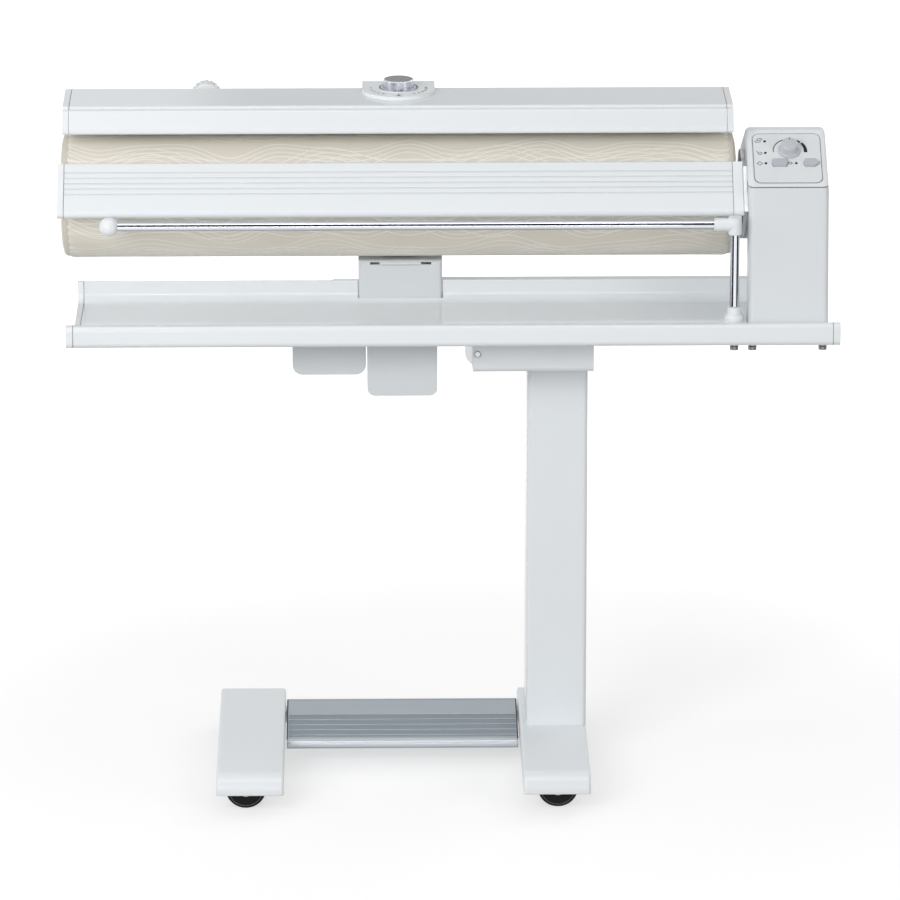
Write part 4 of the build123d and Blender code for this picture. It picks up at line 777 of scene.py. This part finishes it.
def oval(wide, tall, steps=18, turn=0.0, middle=(0.0, 0.0)):
    """Points round an ellipse."""
    ring = [(wide * cos(angle), tall * sin(angle)) for angle in round_angles(steps)]
    return [(middle[0] + x * cos(turn) - y * sin(turn), middle[1] + x * sin(turn) + y * cos(turn))
            for x, y in ring]


diamond = [(-0.0036, 0.0), (0.0, 0.0032), (0.0036, 0.0), (0.0, -0.0032)]
# Each sign has its place on the panel and its strokes.
signs = [
    (lamp_x - 0.0084, lamp_ups[2], stroke(oval(0.0036, 0.0017, turn=0.4, middle=(0.0016, 0.0034)), True)
     + stroke([(-0.0042, 0.0014), (-0.0038, -0.0014), (0.0024, -0.0014), (0.0030, 0.0002)])),
    (lamp_x - 0.0078, lamp_ups[1], stroke([(-0.0036, 0.0032), (-0.0020, 0.0008)])
     + stroke(oval(0.0022, 0.0023, middle=(0.0010, -0.0008)), True)),
    (lamp_x - 0.0078, lamp_ups[0], stroke(diamond, True)),
    (between_x - 0.0072, key_up - 0.0003, stroke(oval(0.0019, 0.0019, middle=(-0.0006, 0.0)), True)
     + stroke([(0.0013, 0.0), (0.0036, 0.0)]) + stroke([(-0.0036, 0.0026), (-0.0024, 0.0010)]))]
sign_parts = [slab(quad, print_lift, on_panel(x, up)) for x, up, quads in signs for quad in quads]
piece("panel_signs", joined(sign_parts), ink_and_recess_shade, "control_panel")
lamp_spots = [(lamp_x, up) for up in lamp_ups] + [(between_x, lamp_ups[0])]
lamps = [slab(oval(lamp_radius, lamp_radius, 20), lamp_thickness, on_panel(x, up, lamp_lift))
         for x, up in lamp_spots]
piece("panel_indicator_lamps", joined(lamps), ink_and_recess_shade, "control_panel")
print("signs:", len(signs), "lamps:", len(lamps))

# %% [markdown]
# The speed knob is a pearly cap with a wide foot, a narrower neck and a gently rounded top. Its
# solid is plainer and a little larger, so a turned outline takes its place. Only the outline
# has to be drawn, and every circle comes out true. A short dark mark on top shows which way it
# is turned.

# %% Speed knob
knob_seat, mark_height, mark_thickness = 0.0001, 0.01385, 0.0002
knob_profile = ((0.0145, 0.0), (0.0145, 0.0013), (0.0140, 0.0022), (0.0129, 0.0030), (0.0120, 0.0034),
                (0.0116, 0.0042), (0.0113, 0.0110), (0.0110, 0.0122), (0.0104, 0.0131), (0.0092, 0.0136),
                (0.0056, 0.0139), (0.0019, 0.0140))


def turned_knob(profile, place, steps=72):
    """A knob turned round Z from (radius, height) points, closed at both ends."""
    count = len(profile)
    points = [place @ Vector((r * cos(turn), r * sin(turn), h)) for turn in round_angles(steps)
              for r, h in profile]
    ends = [tuple(k * count + end for k in range(steps)) for end in (0, count - 1)]
    return points, between(steps, count, ringed=False) + ends


speed_cap = piece("speed_knob_cap", turned_knob(knob_profile, on_panel(knob_x, knob_up, knob_seat)), pearl,
                  "speed_knob", 50)
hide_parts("speed_knob")
knob_mark = slab(upright_bar(0.0007, 0.0062, 0.0104), mark_thickness, on_panel(knob_x, knob_up, mark_height))
piece("speed_knob_mark", knob_mark, ink_and_recess_shade, "speed_knob")
print("speed knob:", len(speed_cap.data.polygons), "faces")

# %% [markdown]
# The temperature dial has two rows of marks and a metal ring with a ribbed grip. Bars that
# repeat round a circle could be copied by hand, but then no spacing could be changed later. One
# tree counts out points along an arc, puts a bar on each and turns it to face the middle. Its
# inputs have names, so the same tree makes both rows of the scale and the grip.

# %% Bars along an arc


def bars_on_arc():
    """A tree that sets out bars along an arc round Z, from a start angle, with a growing width."""
    tree, given = new_tree("bars on an arc", Count=12, Start=0.0, Sweep=2 * pi, Radius=0.02, Length=0.002,
                           Width=0.0005, Height=0.0002, Growth=0.0)
    dots = add(tree, "GeometryNodeMeshLine", Count=given["Count"]).outputs[0]
    order = add(tree, "GeometryNodeInputIndex").outputs[0]
    last = maths(tree, "MAXIMUM", maths(tree, "SUBTRACT", given["Count"], 1.0), 1.0)
    share = maths(tree, "DIVIDE", order, last)
    turn = maths(tree, "ADD", given["Start"], maths(tree, "MULTIPLY", share, given["Sweep"]))
    x, y = [maths(tree, "MULTIPLY", maths(tree, way, turn), given["Radius"]) for way in ("COSINE", "SINE")]
    spots = add(tree, "ShaderNodeCombineXYZ", X=x, Y=y).outputs[0]
    laid = add(tree, "GeometryNodeSetPosition", Geometry=dots, Position=spots).outputs[0]
    grown = maths(tree, "MULTIPLY_ADD", share, given["Growth"], 1.0)
    width = maths(tree, "MULTIPLY", grown, given["Width"])
    size = add(tree, "ShaderNodeCombineXYZ", X=given["Length"], Y=width, Z=given["Height"]).outputs[0]
    facing = add(tree, "ShaderNodeCombineXYZ", Z=turn).outputs[0]
    bar = add(tree, "GeometryNodeMeshCube").outputs[0]
    copies = add(tree, "GeometryNodeInstanceOnPoints", Points=laid, Instance=bar, Rotation=facing, Scale=size)
    return end_tree(tree, copies.outputs[0], given["Finish"])


arc_tree = bars_on_arc()


def bars(name, place, material, **values):
    """Bars along an arc on the dial plate, put in place by a matrix."""
    thing = applied(name, [], [], arc_tree, Finish=material, **values)
    thing.data.transform(place)
    return settle(thing, material, "dial_plate", 20)


print("bars on an arc:", len(arc_tree.nodes), "nodes")

# %% Temperature dial
ring_rise = 0.0012
ring_outer, ring_inner, ring_height = 0.0252, 0.0200, 0.0007
face_radius, face_thickness, face_sink = 0.0181, 0.00025, 0.0001
pointer_outline, pointer_thickness = [(-0.0022, -0.0395), (0.0022, -0.0395), (0.0, -0.0345)], 0.0003
knob_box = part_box("temperature_knob")
dial_middle = middle_of(knob_box)
on_dial = Matrix.Translation((dial_middle.x, dial_middle.y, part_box("dial_plate")[1].z - ring_rise))
on_ring = on_dial @ Matrix.Translation((0, 0, ring_rise))
for side, start, width, growth in (("left", 172, 0.0010, 0.6), ("right", -56, 0.0016, 1.0)):
    bars(f"temperature_scale_{side}", on_dial, ink_and_recess_shade, Count=6, Start=radians(start), Sweep=radians(64),
         Radius=0.0360, Length=0.0034, Width=width, Height=0.0002, Growth=growth)
ring_profile = ((ring_outer, 0.0), (ring_outer, 0.0004), (0.0246, ring_height), (ring_inner, ring_height),
                (ring_inner, 0.0))
piece("temperature_ring", turned_knob(ring_profile, on_ring), satin, "dial_plate")
# The grip's dark bars paint the shade between its ribs.
bars("temperature_ring_grip", on_ring @ Matrix.Translation((0, 0, ring_height)), gap_grey, Count=72,
     Start=0.0, Sweep=radians(355), Radius=0.0243, Length=0.0022, Width=0.0007, Height=0.0003)
knob_top = Matrix.Translation((dial_middle.x, dial_middle.y, knob_box[1].z - face_sink))
piece("temperature_knob_face", slab(oval(face_radius, face_radius, 64), face_thickness, knob_top), grey_mould_and_highlight,
      "temperature_knob")
piece("temperature_pointer", slab(pointer_outline, pointer_thickness, on_dial), ink_and_recess_shade,
      "dial_plate")
print("dial: ring", round(ring_outer * 2000), "mm across")

# %% [markdown]
# The screws have cross recesses. Cutting them out of the solids would take much work for marks
# of 5 mm, so each recess is a dark cross that lies on the head and paints the shade inside the
# recess. Screws repeat too: the tree below takes a point for each screw, puts a cross on it and
# turns it to face the way that the head does. Each loose solid of the screw set gives the middle
# of its head.

# %% Crosses on points


def crosses_on_points():
    """A tree that puts a cross of two bars on every point, turned by given angles."""
    tree, given = new_tree("crosses on points", Arm_length=0.005, Arm_width=0.0011, Height=0.0004,
                           Turn=(0.0, 0.0, 0.0))
    both = add(tree, "GeometryNodeJoinGeometry")
    for along, across in (("X", "Y"), ("Y", "X")):
        reach = {along: given["Arm length"], across: given["Arm width"]}
        size = add(tree, "ShaderNodeCombineXYZ", Z=given["Height"], **reach).outputs[0]
        feed(tree, both.inputs[0], add(tree, "GeometryNodeMeshCube", Size=size).outputs[0])
    copies = add(tree, "GeometryNodeInstanceOnPoints", Points=given["Geometry"], Instance=both.outputs[0],
                 Rotation=given["Turn"])
    return end_tree(tree, copies.outputs[0], given["Finish"])


cross_tree = crosses_on_points()


def recesses(name, spots, turn, arm):
    """Dark crosses at the given spots that paint the shade in the recesses, all facing one way."""
    thing = applied(name, spots, [], cross_tree, Turn=turn, Arm_length=arm, Arm_width=arm / 4, Finish=ink_and_recess_shade)
    settle(thing, ink_and_recess_shade, "machine_screws", 20)


print("crosses on points:", len(cross_tree.nodes), "nodes")

# %% Screw recesses
split_height = 0.66


def loose_solids(node):
    """The boxes of the separate solids in one node, as (lowest, highest) corners."""
    body = welded(node)
    left, boxes = set(body.verts), []
    while left:
        waiting, found = [left.pop()], []
        while waiting:
            here = waiting.pop()
            found.append(here.co.copy())
            ahead = {rim.other_vert(here) for rim in here.link_edges} & left
            left -= ahead
            waiting += ahead
        boxes.append([Vector([end(p[i] for p in found) for i in range(3)]) for end in (min, max)])
    body.free()
    return boxes


screws = [(low, middle_of((low, high))) for low, high in loose_solids("machine_screws")]
plate_spots = [(low.x, middle.y, middle.z) for low, middle in screws if low.z > split_height]
tray_spots = [(middle.x, middle.y, low.z) for low, middle in screws if low.z < split_height]
# Each dark cross paints the shade in a screw's recess.
recesses("plate_screw_recesses", plate_spots, (0, pi / 2, 0), 0.0056)
recesses("tray_bolt_recesses", tray_spots, (0, 0, 0), 0.0052)
print("screws in the plate:", len(plate_spots), "under the tray:", len(tray_spots))

# %% [markdown]
# A soft black lip runs along the lower edge of the finger guard, and its black also paints the
# shadow in the gap under the guard. It could be a straight rod, but then it might float or sink
# in places. Rays from below find the edge at even steps, and a rubber bead follows the points.

# %% Lip of the finger guard, and painted shadow under it
lip_inset, lip_bead, lip_steps = 0.002, 0.0012, 12
guard_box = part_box("finger_guard")
lip_y, lip_z = middle_of(guard_box).y, guard_box[0].z - ray_room
lip_ends = [(guard_box[0].x + lip_inset, lip_y, lip_z), (guard_box[1].x - lip_inset, lip_y, lip_z)]
lip_line = drop("finger_guard", spots_between(*lip_ends, lip_steps), (0, 0, 1))
# The black bead is a rubber lip, and also painted shadow in the gap under the guard.
piece("finger_guard_lip", bead(lip_line, lip_bead, 8), black_rubber, "finger_guard")
print("lip points:", len(lip_line))

# %% [markdown]
# The pedal's tread has grooves across it. The strips between them are darker. A bright bead
# beside each groove is a painted highlight, and a bright band on the round nose is a painted
# highlight too. Dark beads along both side edges are painted shadow in the gaps beside the
# feet. Rays from above give the height of the slope, so strips, highlight beads and shadow
# beads lie on the metal. Only the nose band is worked out from a radius.

# %% Darker strips and painted highlight beads of the pedal
pedal_low, pedal_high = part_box("pedal")
above_pedal = pedal_high.z + ray_room
inset, strip_lift, highlight_bead = 0.0022, 0.00012, 0.00045
groove_width, groove_pitch, first_groove, groove_count = 0.0024, 0.0152, 0.082, 5
beside_groove = groove_width * 0.75
down = (0, 0, -1)


def across_pedal(y, steps=1):
    """Points on the slope in a line across the pedal."""
    ends = [(x, y, above_pedal) for x in (pedal_low.x + inset, pedal_high.x - inset)]
    return drop("pedal", spots_between(*ends, steps), down)


# The bright bead beside each groove is a painted highlight.
strips, highlight_beads = [], []
thick = Vector((0, 0, strip_lift))
for y in [first_groove - i * groove_pitch for i in range(groove_count)]:
    corners = across_pedal(y - groove_pitch + beside_groove) + across_pedal(y - beside_groove)[::-1]
    strips.append(prism([c - thick for c in corners], [c + thick for c in corners]))
    highlight_beads.append(bead(across_pedal(y + beside_groove, 2), highlight_bead))
piece("pedal_tread_strips", joined(strips), tread_aluminium, "pedal")
piece("pedal_tread_ridges", joined(highlight_beads), highlight_aluminium, "pedal")
print("strips:", len(strips), "ridges:", len(highlight_beads))

# %% Painted shadow at the side edges and painted highlight on the nose of the pedal
shadow_inset, shadow_bead, shadow_steps = 0.0006, 0.0010, 12
shadow_front, shadow_back = 0.0115, 0.1267
nose_radius, nose_top = 0.0065, 0.038
# Dark beads along both side edges paint the shadow in the gaps between the pedal and the feet.
shadow_lines = []
for x in (pedal_low.x + shadow_inset, pedal_high.x - shadow_inset):
    spots = spots_between((x, shadow_front, above_pedal), (x, shadow_back, above_pedal), shadow_steps)
    shadow_lines.append(bead(drop("pedal", spots, down), shadow_bead))
piece("pedal_edge_trims", joined(shadow_lines), black_mould_and_gap_shadow, "pedal")

nose_y, nose_z = pedal_low.y + nose_radius, nose_top - nose_radius
nose_turns = [radians(angle) for angle in range(84, 214, 10)]
inner_side, outer_side = [[(nose_y + radius * cos(turn), nose_z + radius * sin(turn)) for turn in nose_turns]
                          for radius in (nose_radius - strip_lift, nose_radius + strip_lift)]
nose_outline = inner_side + outer_side[::-1]
nose_points, nose_faces = prism(*([(x, y, z) for y, z in nose_outline]
                                  for x in (pedal_low.x + inset, pedal_high.x - inset)))
band = len(nose_outline)
end_quads = [tuple(start + i for i in (k, k + 1, band - 2 - k, band - 1 - k))
             for start in (0, band) for k in range(len(nose_turns) - 1)]
# The bright band on the nose is a painted highlight.
piece("pedal_nose_band", (nose_points, nose_faces[2:] + end_quads), highlight_aluminium, "pedal", 60)
print("trims:", len(shadow_lines), "nose band:", band, "points round")

# %% [markdown]
# The castor wheels show a thin light line where the tread meets the hub. That line is a
# painted highlight, where the tread's edge catches the light. It could be a second finish on
# the solid, but the solid is one piece with one finish, so the highlight is a bead on each side
# of the wheel.

# %% Painted highlight on the castor wheels
# Each grey ring is a painted highlight on the edge of the tread.
rim_share, rim_thickness, rim_steps = 0.86, 0.0004, 48
for node in sorted(n for n in nodes if n.startswith("castor_wheel")):
    low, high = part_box(node)
    radius = (high.z - low.z) / 2 * rim_share
    rings = [bead(upright_circle(middle_of((low, high)), y, radius, rim_steps), rim_thickness, closed=True)
             for y in (low.y, high.y)]
    piece(node.replace("castor_wheel", "castor_rim_line"), joined(rings), grey_mould_and_highlight, node)
    print(node, "rim line", round(radius * 2000), "mm across")

# %% [markdown]
# The studio is a white room: a wide white floor, large soft lamps, and a plain world. The
# camera and mirrors see the room as white, while the object is lit at a level at which its
# colours come out as they are written. So both the floor and the world ask what kind of ray
# looks at them. Close to the machine the floor glows less and the lamps make up the rest, so a
# soft shadow shows there.

# %% Floor
floor_reach = 30.0


def plain_material(name, **values):
    """A material without grain, for things of the set."""
    material = bpy.data.materials.new(name)
    material.use_nodes = True
    fill(material.node_tree, material.node_tree.nodes["Principled BSDF"], **values)
    return material


def rectangle(name, corners, material):
    """A flat rectangle of the set."""
    mesh = bpy.data.meshes.new(name)
    mesh.from_pydata(corners, [], [(0, 1, 2, 3)])
    mesh.materials.append(material)
    return link(bpy.data.objects.new(name, mesh))


def looked_at(tree):
    """1 for rays from the camera, mirrors and glass, and 0 for those that only carry light."""
    rays = add(tree, "ShaderNodeLightPath").outputs
    mirrored = maths(tree, "MAXIMUM", rays["Is Glossy Ray"], rays["Is Transmission Ray"])
    return maths(tree, "MAXIMUM", rays["Is Camera Ray"], mirrored)


floor_white = plain_material("floor white", Base_Color=(0.48, 0.48, 0.48, 1), Roughness=0.9,
                             Specular_IOR_Level=0.0, Emission_Color=(1, 1, 1, 1))
tree = floor_white.node_tree
ground = add(tree, "ShaderNodeTexCoord").outputs["Object"]
distance = add(tree, "ShaderNodeVectorMath", operation="LENGTH", Vector=ground).outputs["Value"]
glow = add(tree, "ShaderNodeMapRange", interpolation_type="SMOOTHSTEP", Value=distance, From_Min=0.5,
           From_Max=1.8, To_Min=0.60, To_Max=1.0).outputs["Result"]
fill(tree, tree.nodes["Principled BSDF"], Emission_Strength=maths(tree, "MULTIPLY", looked_at(tree), glow))
floor_corners = [(x * floor_reach, y * floor_reach, 0) for x, y in ((-1, -1), (1, -1), (1, 1), (-1, 1))]
floor = rectangle("floor", floor_corners, floor_white)
print("floor:", 2 * floor_reach, "m wide")

# %% World
room_light = 0.42
world = bpy.data.worlds.new("white room")
bpy.context.scene.world = world
world.use_nodes = True
tree = world.node_tree
fill(tree, tree.nodes["Background"], Color=(1, 1, 1, 1),
     Strength=maths(tree, "MULTIPLY_ADD", looked_at(tree), 1 - room_light, room_light))
print("room light:", room_light)

# %% [markdown]
# A catalogue picture has soft shadows, so the lamps are large rectangles. The front lamp on the
# left gives the covers their form, and the fill on the right keeps that side open. The ceiling,
# left and back lamps only lift what would be too dark.

# %% Lamps


def soft_lamp(name, place, aim, width, height, power):
    """A large rectangular lamp that points at aim."""
    light = bpy.data.lights.new(name, "AREA")
    light.shape = "RECTANGLE"
    light.size, light.size_y, light.energy = width, height, power
    lamp = link(bpy.data.objects.new(name, light))
    lamp.location = place
    lamp.rotation_euler = (Vector(aim) - Vector(place)).to_track_quat("-Z", "Y").to_euler()
    return lamp


soft_lamp("front lamp", (-1.7, -3.4, 2.1), (0, 0, 0.5), 2.0, 1.6, 81)
soft_lamp("ceiling lamp", (0, -0.3, 3.4), (0, 0, 0.6), 2.6, 2.0, 4)
soft_lamp("left lamp", (-3.0, -0.9, 1.6), (0, 0, 0.6), 1.4, 2.0, 12)
soft_lamp("right fill", (3.0, -2.6, 1.4), (0, 0, 0.6), 1.4, 1.8, 22)
soft_lamp("back lamp", (2.4, 2.8, 3.0), (0, 0, 0.5), 1.8, 1.6, 26)
print("lamps:", len(bpy.data.lights))

# %% [markdown]
# Chrome is only as interesting as what it mirrors, and in an all-white room it turns flat. A
# photographer stands dark cards and bright strips round bright metal for that reason. Four
# cards do it here. A wide one, high in front, draws the dark band along the rail. A narrow one
# behind greys the top of the shoe's cover, and two low ones darken the sides of the post. The
# high strip draws white lines along folded edges, and the low one draws a bright line at the
# tray's foot and on the rail. Only reflections see them, so they neither light nor shade the
# object.

# %% Cards and strips for the reflections
card_black = plain_material("card black", Base_Color=(0.02, 0.02, 0.022, 1), Roughness=0.9)
strip_white = plain_material("strip white", Emission_Color=(1, 1, 1, 1), Emission_Strength=8.0)
# Each row has a place, a width, a height and a finish. Every card is turned to the machine.
card_rows = (("card over the lens", (-0.1, -3.0, 3.15), 6.0, 4.1, card_black),
             ("back card", (1.3, 3.0, 2.0), 3.7, 0.38, card_black),
             ("high strip", (-0.1, -2.0, 4.7), 5.0, 1.1, strip_white),
             ("low strip", (-0.35, -3.0, 1.0), 1.6, 0.14, strip_white),
             ("left card", (-1.30, -1.45, 0.5), 1.9, 1.0, card_black),
             ("right card", (1.75, -0.75, 0.5), 1.3, 1.0, card_black))
for name, place, wide, tall, material in card_rows:
    x, z = wide / 2, tall / 2
    card = rectangle(name, [(-x, 0, -z), (x, 0, -z), (x, 0, z), (-x, 0, z)], material)
    card.location = place
    card.rotation_euler = (0, 0, Vector(place).to_2d().angle_signed(Vector((0, -1))))
    card.visible_camera = card.visible_diffuse = card.visible_transmission = card.visible_shadow = False
print("cards and strips:", len(card_rows))

# %% [markdown]
# The lens is long and far away, as for a catalogue picture, so upright lines stay nearly
# upright. Its place and its tilt were fitted to the known forms of the machine: the roller, the
# tray's bar, the column, the feet and the line on which the wheels stand.

# %% Camera
picture_width = 900
focal_length_in_pixels = 6509.3
camera_place, camera_tilt, camera_roll = (-0.1179, -8.2058, 2.9005), 0.2909, -0.0148
camera_data = bpy.data.cameras.new("camera")
camera_data.sensor_width = 36.0
camera_data.lens = focal_length_in_pixels / picture_width * camera_data.sensor_width
camera_data.clip_end = 100
camera = link(bpy.data.objects.new("camera", camera_data))
camera.location = camera_place
camera.rotation_euler = (pi / 2 - camera_tilt, 0, camera_roll)
bpy.context.scene.camera = camera
bpy.context.scene.view_settings.view_transform = "Standard"
print("lens:", round(camera_data.lens), "mm")
